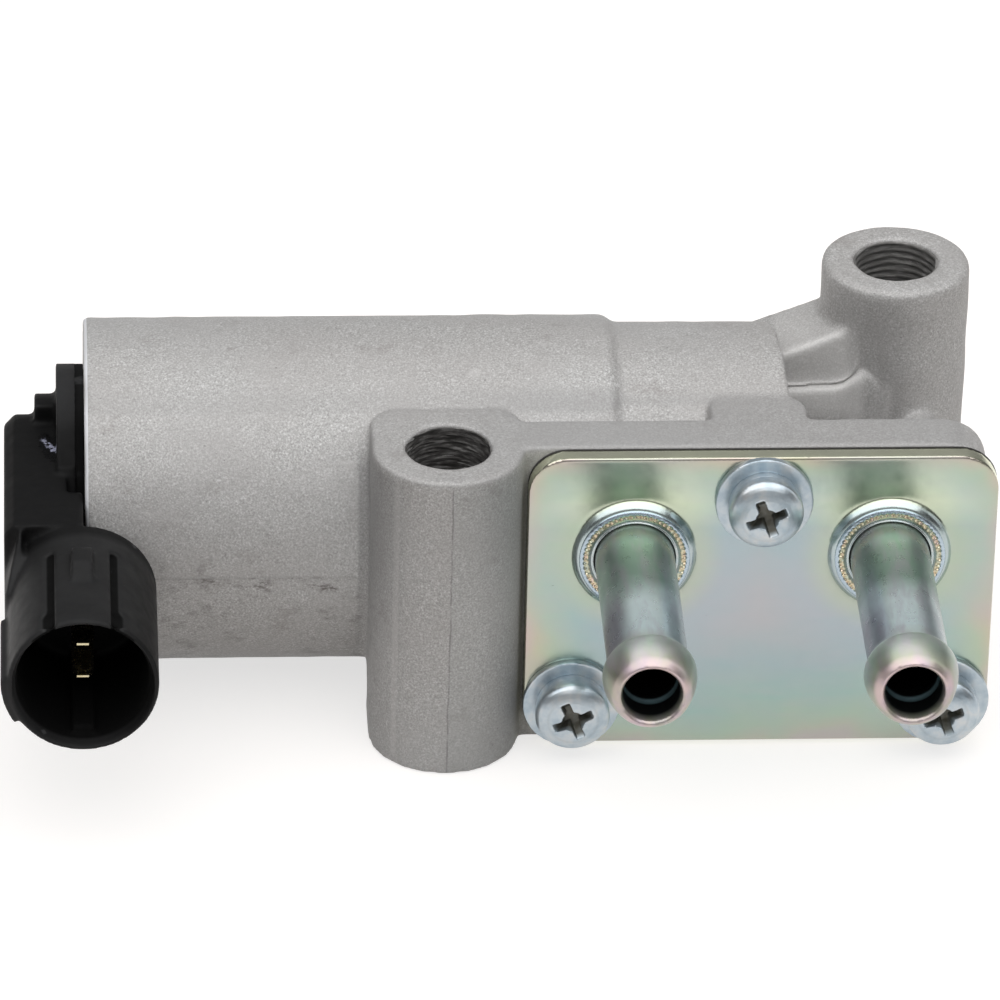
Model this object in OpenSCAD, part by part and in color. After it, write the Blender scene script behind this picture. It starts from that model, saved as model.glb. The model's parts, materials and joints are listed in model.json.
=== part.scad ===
// Idle air control valve for a car engine, in millimetres.
// Origin: axis of the front bolt hole, on the mounting face. X runs along the barrel, away from
// the electrical connector, Y runs from the coolant plate to the rear bolt, and Z is up.

/* [Mounting bosses] */
// Diameter of the two fixing bolt holes
bolt_hole_d = 8.6; // [8.2:0.1:9]
// Outer diameter of the two bolt bosses
boss_d = 15.2; // [14.6:0.1:16.4]
// Distance between the two bolt holes along the barrel
bolt_pitch_x = 47.1; // [46:0.1:50]
// Distance between the two bolt holes across the barrel
bolt_pitch_y = 28.8; // [27.6:0.1:31]
// Height of the rear boss above the mounting face
rear_boss_h = 38.9; // [37:0.1:44]
// Distance from the front bolt hole to the flat back of its boss
front_boss_back = 7.5; // [6:0.1:9]
// Radius of the rounded back corners of the front boss
front_boss_corner = 2.5; // [1:0.1:4]

/* [Mounting base] */
// Thickness of the mounting base
base_t = 9.5; // [9:0.1:12]
// Corner radius of the base's left corners
base_corner_r = 7; // [5:0.1:8]
// Corner radius of the base beside the rear boss
base_rear_corner_r = 10; // [9.5:0.1:12]
// Distance from the front bolt hole to the left edge of the base
base_left = 7; // [6.8:0.1:7.5]
// Distance from the front bolt hole to the rear edge of the base
base_rear = 35.2; // [34:0.1:35.6]

/* [Coolant flange] */
// Height of the coolant flange and of the front boss
flange_h = 33.7; // [33.6:0.1:36]
// Thickness of the coolant flange
flange_t = 5.7; // [5.2:0.1:7]
// Distance from the front bolt hole forward to the machined flange face
flange_front = 0.4; // [0:0.1:1]
// Distance from the front bolt hole to the right edge of the flange
flange_right = 54.3; // [54:0.1:58]
// Radius of the upper right corner of the flange
flange_corner_r = 4.6; // [3:0.1:6]
// Width of the boss behind the upper cover screw
screw_pad_w = 9.75; // [9:0.05:11]
// Reach of that boss behind the flange
screw_pad_reach = 5.1; // [4.5:0.1:6]

/* [Coolant pocket] */
// Depth of the coolant pocket in the flange
pocket_depth = 3.4; // [2.5:0.1:3.8]
// Height of the coolant pocket
pocket_h = 14; // [12:0.1:15]
// Rise of the coolant pocket above the nipple centres
pocket_rise = 3; // [2:0.1:3.4]
// Length of the coolant pocket beyond the nipple centres at each end
pocket_margin = 4; // [3:0.1:4.4]
// Corner radius of the coolant pocket
pocket_corner_r = 3; // [2:0.1:5]

/* [Barrel] */
// Diameter of the barrel
barrel_d = 34.8; // [34.4:0.1:36]
// Distance from the front bolt hole to the left end of the barrel
barrel_left = 36.1; // [36.1:0.1:42]
// Distance from the front bolt hole to the barrel's shoulder
barrel_right = 18; // [16:0.1:22]
// Distance of the barrel axis behind the front bolt hole
barrel_y = 17.6; // [17.4:0.1:18.6]
// Height of the barrel axis above the mounting face
barrel_z = 19; // [18.8:0.1:20]
// Wall of the barrel around the solenoid
barrel_wall = 2.2; // [1.6:0.1:2.6]
// Diameter of the valve section beyond the shoulder
valve_section_d = 33.2; // [32:0.1:34]
// Length of the valve section
valve_section_len = 16.45; // [15.5:0.05:20]
// Draft of the valve section's end face in degrees
end_draft = 3.4; // [0:0.1:5]
// Length of the barrel's rounded shoulder
shoulder_len = 1.2; // [0.8:0.1:2]
// Thickness of the rolled lip that holds the solenoid in the barrel
lip_t = 1; // [0.8:0.1:1.4]

/* [Web to the rear boss] */
// Distance of the upper web's front face behind the front bolt hole
upper_web_y = 22.9; // [22.4:0.1:24]
// Thickness of the upper web
upper_web_t = 8.9; // [6:0.1:10]
// Height of the upper web where it meets the rear boss
upper_web_h = 33.9; // [32:0.1:36]
// Fall of the upper web towards the barrel, in degrees
upper_web_fall = 21.8; // [18:0.1:26]
// Distance of the lower web's front face behind the front bolt hole
lower_web_y = 21.4; // [21:0.1:22.2]
// Thickness of the lower web
lower_web_t = 11; // [9:0.1:12]
// Height of the lower web
lower_web_h = 28.1; // [26:0.1:29]
// Width of the rib between the flange and the rear boss
rib_w = 4.4; // [3.4:0.1:5]
// Height of that rib
rib_h = 25; // [20:0.1:27]
// Distance of that rib to the right of the rear bolt hole
rib_offset = 2.3; // [1.5:0.1:3]

/* [Air passages] */
// Diameter of the two air ports
port_d = 11.5; // [10.5:0.1:12]
// Distance of the inlet port to the right of the front bolt hole
inlet_port_x = 5.2; // [4.8:0.1:5.6]
// Distance of the outlet port to the right of the front bolt hole
outlet_port_x = 24; // [23.6:0.1:25]
// Diameter of the inlet chamber
inlet_chamber_d = 19; // [18:0.1:20]
// Diameter of the outlet chamber
outlet_chamber_d = 14; // [13:0.1:15]
// Thickness of the wall that closes the outlet chamber
end_wall = 3.4; // [2.5:0.1:4]
// Thickness of the rubber in the port O-rings
port_ring_cord = 1.8; // [1.5:0.1:2]
// Wall between a port and its O-ring groove
port_ring_wall = 0.9; // [0.8:0.1:1.2]

/* [Coolant plate] */
// Width of the coolant plate
plate_w = 47; // [46.6:0.1:49]
// Height of the coolant plate
plate_h = 33; // [32.6:0.1:33]
// Thickness of the coolant plate
plate_t = 1.7; // [1.2:0.1:2.5]
// Corner radius of the coolant plate
plate_corner_r = 4; // [2:0.1:4.8]
// Distance of the plate's left edge from the front bolt hole
plate_left = 7.95; // [7.85:0.05:8.4]
// Height of the plate's lower edge above the mounting face
plate_bottom = 0.5; // [0.2:0.1:0.6]
// Thickness of the gasket behind the plate
gasket_t = 0.4; // [0.3:0.1:1]
// Distance of the lower screws from the plate's side edges
screw_edge_x = 4.8; // [4.6:0.1:5.2]
// Height of the lower screws above the plate's lower edge
screw_edge_low = 4.95; // [4.8:0.05:5.2]
// Distance of the upper screw below the plate's upper edge
screw_edge_high = 4.7; // [4.3:0.05:4.9]

/* [Coolant nipples] */
// Outer diameter of the coolant nipples
nipple_d = 8; // [7.6:0.1:8.4]
// Bore of the coolant nipples
nipple_bore_d = 5.64; // [5:0.02:6.4]
// Diameter of the collar that holds a nipple behind the plate
nipple_collar_d = 9.6; // [9:0.1:10]
// Thickness of that collar
nipple_collar_t = 0.8; // [0.5:0.1:1.2]
// Distance between the two nipples
nipple_pitch = 25.6; // [25:0.1:26.5]
// Distance of the nipples below the plate's upper edge
nipple_edge = 11; // [10.6:0.1:11.4]
// Reach of the nipples in front of the plate
nipple_reach = 27.1; // [22:0.1:34]
// Diameter of the hose bead
bead_d = 9.35; // [8.9:0.05:10]
// Length of the hose bead
bead_len = 4.4; // [3:0.1:6]
// Height of the ridge that forming the bead leaves in the bore
bore_ridge_h = 0.25; // [0.1:0.05:0.4]
// Rounding of the nipple's mouth
nipple_mouth_r = 0.45; // [0.2:0.05:0.6]
// Diameter of the raised ring that the plate has around each nipple
emboss_d = 12.3; // [11.8:0.1:13]
// Height of that raised ring
emboss_h = 0.9; // [0.5:0.1:1.2]

/* [Screws] */
// Diameter of the cover screws
screw_d = 4; // [3.5:0.1:4.2]
// Diameter of the screw heads
screw_head_d = 7.5; // [7:0.1:8]
// Height of the screw heads
screw_head_h = 2.5; // [2.2:0.1:3]
// Length of the screws under the spring washer
screw_len = 12; // [10:0.5:12]
// Chamfer at the tip of the screws
screw_tip = 0.8; // [0.4:0.1:1.2]
// Chamfer round the lower edge of the screw heads
screw_head_edge = 0.15; // [0.05:0.05:0.3]
// Width of a wing of the cross recess
recess_wing = 4.7; // [3.8:0.1:4.9]
// Thickness of a wing of the cross recess
recess_t = 0.95; // [0.7:0.05:1.2]
// Depth of the cross recess
recess_depth = 1.9; // [1.4:0.1:2]
// Diameter of the round core of the cross recess
recess_core_d = 2.4; // [1.8:0.1:2.8]
// Outer diameter of the flat washers
washer_d = 9.8; // [9:0.1:9.9]
// Thickness of the flat washers
washer_t = 0.8; // [0.6:0.1:1]
// Outer diameter of the spring washers
spring_washer_d = 7.2; // [6.8:0.1:7.6]
// Thickness of the spring washers
spring_washer_t = 1; // [0.8:0.1:1.2]

/* [Connector cap] */
// Diameter of the cap's disc outside the barrel
cap_disc_d = 26; // [25:0.1:27]
// Diameter of the cap where the barrel's lip goes round it
cap_throat_d = 24.2; // [23:0.1:24.6]
// Length of that smaller part outside the barrel
cap_throat_len = 0.9; // [0.5:0.1:1.4]
// Thickness of the cap's disc outside the barrel
cap_disc_t = 2.8; // [2:0.1:3.6]
// Thickness of the cap's flange inside the barrel
cap_flange_t = 2.2; // [1.8:0.1:3]
// Diameter of the hub on the disc
cap_hub_d = 19.4; // [18:0.1:21]
// Thickness of the hub on the disc
cap_hub_t = 2.2; // [1.5:0.1:3]
// Height of the neck that carries the socket
neck_h = 15.2; // [14:0.1:15.4]
// Thickness of that neck outside the disc
neck_t = 5.3; // [4.8:0.1:6.5]
// Chamfer along the neck's outer edge
neck_chamfer = 1.1; // [0.6:0.1:1.4]
// Thickness of the rubber in the cap's O-ring
cap_ring_cord = 1.9; // [1.6:0.1:2.2]

/* [Connector socket] */
// Outer diameter of the socket
socket_d = 14.9; // [14.6:0.1:15.4]
// Height of the socket's axis above the barrel's axis
socket_lift = 0.3; // [0.1:0.05:0.4]
// Wall of the socket
socket_wall = 0.9; // [0.8:0.05:1.2]
// Distance of the socket's axis from the left end of the barrel
socket_offset = 0.4; // [0.2:0.05:1]
// Distance from the front bolt hole forward to the back of the socket
socket_back = 2.85; // [2.4:0.05:4]
// Length of the socket
socket_len = 18.65; // [17:0.05:22]
// Thickness of the socket's floor
socket_floor = 2.4; // [2.2:0.1:3]
// Distance between the two guide grooves on top of the socket
groove_pitch = 6.35; // [5.6:0.05:7]
// Width of a guide groove
groove_w = 0.85; // [0.6:0.05:1.1]
// Depth of a guide groove
groove_depth = 0.5; // [0.3:0.05:0.6]
// Width of the lock bump
lock_w = 2.1; // [1.6:0.1:3]
// Length of the lock bump
lock_len = 6; // [4:0.1:7]
// Height of the lock bump
lock_h = 0.9; // [0.6:0.1:1.4]
// Width of a terminal
terminal_w = 2.2; // [1.8:0.1:2.6]
// Thickness of a terminal
terminal_t = 0.8; // [0.6:0.1:1]
// Distance between the two terminals
terminal_pitch = 3.7; // [3.2:0.1:4.4]
// Distance of the terminal tips inside the rim
terminal_recess = 5.4; // [4.5:0.1:7]

/* [Solenoid] */
// Length of the coil between the two steel plates
coil_len = 19.5; // [18.5:0.1:19.5]
// Thickness of the steel plate behind the coil
end_plate_t = 1.8; // [1.5:0.1:2.2]
// Thickness of the steel plate in front of the coil
front_plate_t = 1.8; // [1.5:0.1:2]
// Thickness of the steel sleeve around the coil
sleeve_t = 1.8; // [1.4:0.1:2.2]
// Wall of the bobbin
bobbin_wall = 1; // [0.8:0.1:1.3]
// Thickness of the bobbin's flanges
bobbin_flange_t = 1.2; // [0.8:0.1:1.6]
// Depth of the winding below the rim of the bobbin
winding_below_rim = 0.8; // [0.4:0.1:1.4]
// Diameter of the armature
armature_d = 11.4; // [10.6:0.1:12]
// Length of the armature
armature_len = 11.6; // [11:0.1:12.5]
// Length of the armature's cone
armature_cone = 2; // [1.6:0.1:2.4]
// Clearance around the armature
armature_gap = 0.3; // [0.2:0.05:0.4]
// Travel of the valve from shut to fully open
valve_travel = 2; // [1.5:0.1:2.2]
// Gap left between the armature and the core when the valve is fully open
stop_gap = 0.4; // [0.3:0.1:0.8]

/* [Valve] */
// Diameter of the valve shaft
shaft_d = 3; // [2.6:0.1:3.2]
// Radial clearance of the shaft in its bushes
shaft_gap = 0.03; // [0.02:0.01:0.06]
// Outer diameter of the bushes
bush_d = 4.8; // [4.4:0.1:5.2]
// Length of the bush in the core
rear_bush_len = 5; // [4:0.1:5.4]
// Length of the bush in front of the armature
front_bush_len = 4.4; // [3.8:0.1:5]
// Diameter of the hub that holds the front bush
bush_hub_d = 7.6; // [7.2:0.1:8]
// Thickness of the disc that holds the front bush
bush_disc_t = 2; // [1.6:0.1:2.4]
// Gap between the armature and the front bush's holder
bush_standoff = 1.4; // [1:0.1:1.8]
// Distance of the valve seat to the right of the front bolt hole
seat_x = 13.8; // [13.4:0.1:14.4]
// Bore of the valve seat
seat_bore_d = 10; // [9.2:0.1:10.6]
// Outer diameter of the valve seat
seat_d = 16; // [15.4:0.1:16.6]
// Length of the valve seat
seat_len = 3; // [2.4:0.1:3.6]
// Gap between the shut valve's cone and the edge of its seat
seat_gap = 0.15; // [0.1:0.05:0.3]
// Diameter of the valve head
valve_head_d = 13.2; // [12.4:0.1:14]
// Thickness of the valve head behind its cone
valve_head_t = 2.2; // [1.8:0.1:2.8]
// Thickness of the return spring's wire
spring_wire_d = 0.9; // [0.7:0.05:1.1]
// Number of turns of the return spring
spring_turns = 6; // [4:1:8]

/* [Clearances] */
// Radial clearance of the parts that sit still in a bore
seat_fit_gap = 0.05; // [0.02:0.01:0.1]
// Radial clearance of the screws in the plate and the washers
screw_clearance = 0.15; // [0.1:0.05:0.3]
// Clearance of the nipples' collars in the coolant pocket
collar_clearance = 0.4; // [0.3:0.1:0.6]

/* [Hidden] */
$fn = 96;
// A cut runs this far past the face that it opens
over = 1;
// Places of things on the coolant plate, as X and Z
plate_mid_x = plate_left + plate_w / 2;
plate_top = plate_bottom + plate_h;
plate_back_y = -flange_front - gasket_t;
plate_face_y = plate_back_y - plate_t;
screw_top_at = [plate_mid_x, plate_top - screw_edge_high];
screw_left_at = [plate_left + screw_edge_x, plate_bottom + screw_edge_low];
screw_right_at = [plate_left + plate_w - screw_edge_x, plate_bottom + screw_edge_low];
nipple_z = plate_top - nipple_edge;
nipple_left_x = plate_mid_x - nipple_pitch / 2;
nipple_right_x = plate_mid_x + nipple_pitch / 2;
// Stack of the solenoid along the barrel, from its left end
cavity_r = barrel_d / 2 - barrel_wall;
stack_r = cavity_r - seat_fit_gap;
barrel_left_x = -barrel_left;
cap_flange_x = barrel_left_x + lip_t;
cap_spigot_x = cap_flange_x + cap_flange_t;
cap_ring_room = cap_ring_cord + 2 * seat_fit_gap;
end_plate_x = cap_spigot_x + cap_ring_room;
coil_x = end_plate_x + end_plate_t;
front_plate_x = coil_x + coil_len;
cavity_end_x = front_plate_x + front_plate_t;
sleeve_bore_r = stack_r - sleeve_t;
armature_bore_r = armature_d / 2 + armature_gap;
armature_out = 1;
armature_end_x = cavity_end_x + armature_out;
armature_x = armature_end_x - armature_len;
cone_tip_r = armature_d / 2 - 2.3;
cone_root_r = armature_d / 2 - 0.9;
core_face_x = armature_x + armature_cone - valve_travel - stop_gap;
core_r = armature_bore_r - seat_fit_gap;
core_spigot_r = 4;
core_floor_x = core_face_x - armature_cone;
rear_bush_x = core_floor_x - rear_bush_len;
// Ends of the shaft, the front bush's holder and the valve head
shaft_x = rear_bush_x + 0.3;
bush_holder_x = armature_end_x + bush_standoff;
bush_disc_x = bush_holder_x + 0.4;
spring_x = bush_disc_x + bush_disc_t;
cone_seat_x = seat_x - seat_gap;
valve_cone_x = cone_seat_x - (valve_head_d - seat_bore_d) / 2;
valve_head_x = valve_cone_x - valve_head_t;
valve_cone_len = (valve_head_d - seat_bore_d) / 2 + 1;
valve_tip_x = valve_cone_x + valve_cone_len;
rivet_len = 0.7;
// Chambers, ports and the end of the valve section
valve_end_x = barrel_right + valve_section_len;
chamber_end_x = valve_end_x - end_wall;
port_groove_r = port_d / 2 + port_ring_wall;
port_groove_w = port_ring_cord;
// Socket of the connector, whose axis runs forward from the barrel's left end
socket_x = barrel_left_x - socket_offset;
socket_z = barrel_z + socket_lift;
neck_x = barrel_left_x - cap_disc_t;
neck_left_x = neck_x - neck_t;
socket_front_y = -socket_back - socket_len;
floor_front_y = -socket_back - socket_floor;
terminal_tip_y = socket_front_y + terminal_recess;
terminal_turn_y = barrel_y - 8.6;
tongue_w = 3.8;
tongue_h = terminal_pitch + terminal_t + 2.6;

// Points on a circular arc
function arc(centre, r, from, to, steps = 8) =
    [for (i = [0:steps]) let(a = from + (to - from) * i / steps) centre + r * [cos(a), sin(a)]];

// Direction from a circle's centre to where the outer tangent to the next circle touches it
function tangent_side(a, b) =
    let(run = [b[0] - a[0], b[1] - a[1]])
    let(angle = atan2(run[1], run[0]) - acos((a[2] - b[2]) / norm(run)))
    [cos(angle), sin(angle)];

// Both touching points of that tangent
function tangent_points(a, b) =
    let(side = tangent_side(a, b))
    [[a[0], a[1]] + a[2] * side, [b[0], b[1]] + b[2] * side];

// Outline around circles given counter-clockwise as [x, y, radius]
module round_outline(circles) {
    count = len(circles);
    polygon([for (i = [0:count - 1]) each tangent_points(circles[i], circles[(i + 1) % count])]);
    for (c = circles)
        translate([c[0], c[1]]) circle(r = c[2]);
}

// Rectangle with rounded corners, from its lower left corner
module round_rect(w, h, r) {
    round_outline([[r, r, r], [w - r, r, r], [w - r, h - r, r], [r, h - r, r]]);
}

// Puts a solid drawn along Z on the barrel's axis, starting at x
module on_barrel(x) {
    translate([x, barrel_y, barrel_z]) rotate([0, 90, 0]) children();
}

// Puts a solid drawn along Z so that it points forward from depth y, at x and z
module facing_front(x, y, z) {
    translate([x, y, z]) rotate([90, 0, 0]) children();
}

// Solid disc or rod on the barrel's axis
module axis_rod(x, len, r) {
    on_barrel(x) cylinder(h = len, r = r);
}

// Ring on the barrel's axis
module axis_ring(x, len, outer_r, inner_r) {
    on_barrel(x) difference() {
        cylinder(h = len, r = outer_r);
        translate([0, 0, -over]) cylinder(h = len + 2 * over, r = inner_r);
    }
}

// Front boss: round in front and square behind
module front_boss() {
    corner_x = boss_d / 2 - front_boss_corner;
    corner_y = front_boss_back - front_boss_corner;
    linear_extrude(flange_h) round_outline([
        [0, 0, boss_d / 2],
        [corner_x, corner_y, front_boss_corner],
        [-corner_x, corner_y, front_boss_corner]
    ]);
}

// Rear boss with its softly rounded upper edge
module rear_boss() {
    edge = 0.6;
    translate([bolt_pitch_x, bolt_pitch_y, 0]) rotate_extrude() polygon(concat(
        [[0, 0], [boss_d / 2, 0]],
        arc([boss_d / 2 - edge, rear_boss_h - edge], edge, 0, 90, 5),
        [[0, rear_boss_h]]
    ));
}

// Corner piece that is cut off to round a corner; x_side and y_side point into the corner
module corner_waste(x, y, r, x_side, y_side) {
    translate([x - x_side * r, y - y_side * r]) difference() {
        translate([x_side > 0 ? 0 : -r - over, y_side > 0 ? 0 : -r - over])
            square(r + over);
        circle(r = r);
    }
}

// Base that bolts against the manifold
module mounting_base() {
    linear_extrude(base_t) difference() {
        translate([-base_left, -flange_front])
            square([flange_right + base_left, base_rear + flange_front]);
        corner_waste(-base_left, -flange_front, base_corner_r, -1, -1);
        corner_waste(-base_left, base_rear, base_corner_r, -1, 1);
        corner_waste(flange_right, base_rear, base_rear_corner_r, 1, 1);
    }
}

// Upright flange that carries the coolant plate
module coolant_flange() {
    facing_front(0, flange_t - flange_front, 0) linear_extrude(flange_t) union() {
        square([flange_right, flange_h / 2]);
        round_outline([
            [1, flange_h / 2, 1],
            [flange_right - flange_corner_r, flange_h / 2, flange_corner_r],
            [flange_right - flange_corner_r, flange_h - flange_corner_r, flange_corner_r],
            [1, flange_h - 1, 1]
        ]);
    }
}

// Boss behind the upper cover screw
module screw_pad() {
    corner = 3;
    front_y = flange_t - flange_front - 1;
    pad_h = 2 * screw_edge_high + 0.3;
    translate([plate_mid_x - screw_pad_w / 2, front_y, flange_h - pad_h])
        linear_extrude(pad_h) union() {
            square([screw_pad_w, screw_pad_reach + 1 - corner]);
            round_outline([
                [corner, 1, 1],
                [screw_pad_w - corner, 1, 1],
                [screw_pad_w - corner, screw_pad_reach + 1 - corner, corner],
                [corner, screw_pad_reach + 1 - corner, corner]
            ]);
        }
}

// Barrel and valve section, turned about their common axis
module barrel() {
    barrel_r = barrel_d / 2;
    section_r = valve_section_d / 2;
    barrel_len = barrel_left + barrel_right;
    drop = barrel_r - section_r;
    section_end = barrel_len + valve_section_len;
    difference() {
        on_barrel(barrel_left_x) rotate_extrude() polygon(concat(
            [[0, 0], [barrel_r - 0.3, 0], [barrel_r, 0.3]],
            [for (i = [0:6]) [barrel_r - drop * (1 - cos(30 * i)) / 2,
                              barrel_len - shoulder_len * (1 - i / 6)]],
            [[section_r, section_end + over], [0, section_end + over]]
        ));
        translate([valve_end_x, barrel_y, 0]) rotate([0, 0, end_draft])
            translate([0, -barrel_d, -over]) cube([2 * barrel_d, 2 * barrel_d, 2 * barrel_d]);
    }
}

// Slab of the web between the valve section and the rear boss, with a sloping top
module web_slab(front_y, depth, left_x, right_x, left_h, right_h) {
    facing_front(0, front_y + depth, 0) linear_extrude(depth)
        polygon([[left_x, 0], [right_x, 0], [right_x, right_h], [left_x, left_h]]);
}

module webs() {
    start_x = valve_end_x - 10;
    boss_left_x = bolt_pitch_x - 5.2;
    fall = tan(upper_web_fall);
    web_slab(upper_web_y, upper_web_t, start_x, bolt_pitch_x,
        upper_web_h - (boss_left_x - start_x) * fall,
        upper_web_h + (bolt_pitch_x - boss_left_x) * fall);
    web_slab(lower_web_y, lower_web_t, start_x, bolt_pitch_x - 2.2, lower_web_h - 0.6, lower_web_h);
}

// Round-topped rib that ties the flange to the rear boss
module flange_rib() {
    front_y = flange_t - flange_front - 1;
    rib_len = bolt_pitch_y - front_y - boss_d / 4;
    rib_x = bolt_pitch_x + rib_offset;
    facing_front(rib_x, front_y + rib_len, 0) linear_extrude(rib_len) union() {
        translate([-rib_w / 2, 0]) square([rib_w, rib_h - rib_w / 2]);
        translate([0, rib_h - rib_w / 2]) circle(d = rib_w);
    }
}

// Hole for a cover screw, from the flange face into the casting
module screw_hole(at) {
    depth = screw_len - washer_t - plate_t - gasket_t + 1;
    facing_front(at[0], depth - flange_front, at[1])
        cylinder(h = depth + over, r = screw_d / 2 + seat_fit_gap);
}

// Outline of the coolant pocket, with room for the nipples' collars
module pocket_outline() {
    translate([nipple_left_x - pocket_margin, nipple_z + pocket_rise - pocket_h])
        round_rect(nipple_pitch + 2 * pocket_margin, pocket_h, pocket_corner_r);
    for (x = [nipple_left_x, nipple_right_x])
        translate([x, nipple_z]) circle(r = nipple_collar_d / 2 + collar_clearance);
}

// Pocket that brings warm coolant close to the valve
module coolant_pocket() {
    facing_front(0, pocket_depth - flange_front, 0)
        linear_extrude(pocket_depth + over) pocket_outline();
}

// Stepped bore for the solenoid and the valve
module housing_bores() {
    axis_rod(barrel_left_x - over, lip_t + 2 * over, cap_throat_d / 2 + seat_fit_gap);
    axis_rod(cap_flange_x, cavity_end_x - cap_flange_x, cavity_r);
    axis_rod(cavity_end_x - over, seat_x - cavity_end_x + over, inlet_chamber_d / 2);
    axis_rod(seat_x - over, seat_len + over, seat_d / 2 + seat_fit_gap);
    axis_rod(seat_x, chamber_end_x - seat_x, outlet_chamber_d / 2);
}

// Air port in the mounting face with its O-ring groove
module air_port(x) {
    translate([x, barrel_y, 0]) {
        translate([0, 0, -over]) cylinder(h = barrel_z + over, d = port_d);
        difference() {
            translate([0, 0, -over])
                cylinder(h = port_ring_cord + over, r = port_groove_r + port_groove_w);
            translate([0, 0, -2 * over])
                cylinder(h = port_ring_cord + 3 * over, r = port_groove_r);
        }
    }
}

module bolt_hole(x, y, h) {
    translate([x, y, -over]) cylinder(h = h + 2 * over, d = bolt_hole_d);
}

module housing() {
    color([0.70, 0.70, 0.69]) difference() {
        union() {
            front_boss();
            rear_boss();
            mounting_base();
            coolant_flange();
            screw_pad();
            barrel();
            webs();
            flange_rib();
        }
        housing_bores();
        coolant_pocket();
        air_port(inlet_port_x);
        air_port(outlet_port_x);
        bolt_hole(0, 0, flange_h);
        bolt_hole(bolt_pitch_x, bolt_pitch_y, rear_boss_h);
        for (at = [screw_top_at, screw_left_at, screw_right_at])
            screw_hole(at);
    }
}

// Outline of the plate and the gasket, with their screw holes
module plate_outline() {
    difference() {
        translate([plate_left, plate_bottom]) round_rect(plate_w, plate_h, plate_corner_r);
        for (at = [screw_top_at, screw_left_at, screw_right_at])
            translate(at) circle(r = screw_d / 2 + screw_clearance);
    }
}

// Raised ring that the plate is drawn up into around a nipple
module plate_emboss(x) {
    inner_r = nipple_d / 2;
    mid_r = (emboss_d / 2 + inner_r) / 2;
    half_w = emboss_d / 2 - mid_r;
    facing_front(x, plate_face_y + 0.1, nipple_z) rotate_extrude() polygon(concat(
        [[inner_r, 0], [emboss_d / 2, 0], [emboss_d / 2, 0.1]],
        [for (i = [0:8]) let(a = 20 * i) [mid_r + half_w * cos(a), 0.1 + emboss_h * sin(a)]],
        [[inner_r, 0.1 + emboss_h * sin(160)]]
    ));
}

module coolant_plate() {
    color([0.78, 0.79, 0.66]) union() {
        difference() {
            facing_front(0, plate_back_y, 0) linear_extrude(plate_t) plate_outline();
            for (x = [nipple_left_x, nipple_right_x])
                facing_front(x, plate_back_y + over, nipple_z)
                    cylinder(h = plate_t + 2 * over, d = nipple_d);
        }
        plate_emboss(nipple_left_x);
        plate_emboss(nipple_right_x);
    }
}

module coolant_gasket() {
    color([0.12, 0.12, 0.12]) facing_front(0, -flange_front, 0) linear_extrude(gasket_t)
        difference() {
            plate_outline();
            pocket_outline();
        }
}

// Steel nipple: a collar behind the plate, a straight tube and a hose bead with a sharp shoulder
module coolant_nipple(x) {
    tube_r = nipple_d / 2;
    bore_r = nipple_bore_d / 2;
    collar_r = nipple_collar_d / 2;
    collar_t = nipple_collar_t;
    bead_r = bead_d / 2;
    tip = collar_t + plate_t + nipple_reach;
    bead_start = tip - bead_len;
    bead_drop = bead_r - tube_r + 0.1;
    mouth = nipple_mouth_r;
    ridge = tip - 0.8 * bead_len;
    color([0.80, 0.80, 0.68]) facing_front(x, plate_back_y + collar_t, nipple_z)
        rotate_extrude() polygon(concat(
            [[bore_r, 0], [collar_r, 0], [collar_r, collar_t], [tube_r, collar_t],
             [tube_r, bead_start], [bead_r - 0.2, bead_start]],
            [for (i = [0:8]) [bead_r - bead_drop * pow(i / 8, 1.7),
                              bead_start + 0.4 + (bead_len - 1) * i / 8]],
            arc([bore_r + mouth + 0.1, tip - mouth], mouth, 90, 180, 5),
            [[bore_r, tip - mouth - 0.4], [bore_r, ridge], [bore_r - bore_ridge_h, ridge - 0.4],
             [bore_r - bore_ridge_h, ridge - 0.8], [bore_r, ridge - 1.6]]
        ));
}

// Pan head screw with a cross recess, its head forward
module cover_screw(at, turn) {
    head_back = washer_t + spring_washer_t;
    shank_len = screw_len;
    head_r = screw_head_d / 2;
    dome_start = 0.45 * screw_head_h;
    color([0.80, 0.84, 0.87]) facing_front(at[0], plate_face_y - head_back + shank_len, at[1])
        rotate([0, 0, turn]) difference() {
            union() {
                rotate_extrude() polygon([
                    [0, 0], [screw_d / 2 - screw_tip, 0], [screw_d / 2, screw_tip], [screw_d / 2, shank_len],
                    [0, shank_len]
                ]);
                translate([0, 0, shank_len]) rotate_extrude() polygon(concat(
                    [[0, 0], [head_r - screw_head_edge, 0], [head_r, screw_head_edge],
                     [head_r, dome_start]],
                    [for (i = [1:8]) let(a = 90 * i / 8)
                        [head_r * cos(a), dome_start + (screw_head_h - dome_start) * sin(a)]]
                ));
            }
            translate([0, 0, shank_len + screw_head_h]) {
                recess_core();
                for (quarter = [0, 90])
                    rotate([0, 0, quarter]) recess_blade();
            }
        }
}

// One tapering wing pair of a cross recess, its top at the origin
module recess_blade() {
    bottom_w = recess_wing * 0.42;
    rotate([90, 0, 0]) translate([0, 0, -recess_t / 2]) linear_extrude(recess_t) polygon([
        [-recess_wing / 2, over], [-recess_wing / 2, 0], [-bottom_w / 2, -recess_depth],
        [bottom_w / 2, -recess_depth], [recess_wing / 2, 0], [recess_wing / 2, over]
    ]);
}

// Tapering round core of a cross recess, its top at the origin
module recess_core() {
    core_r = recess_core_d / 2;
    core_depth = 0.85 * recess_depth;
    rotate_extrude($fn = 48) polygon([
        [0, -core_depth], [0.45 * core_r, -core_depth], [core_r, 0], [core_r, over], [0, over]
    ]);
}

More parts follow.
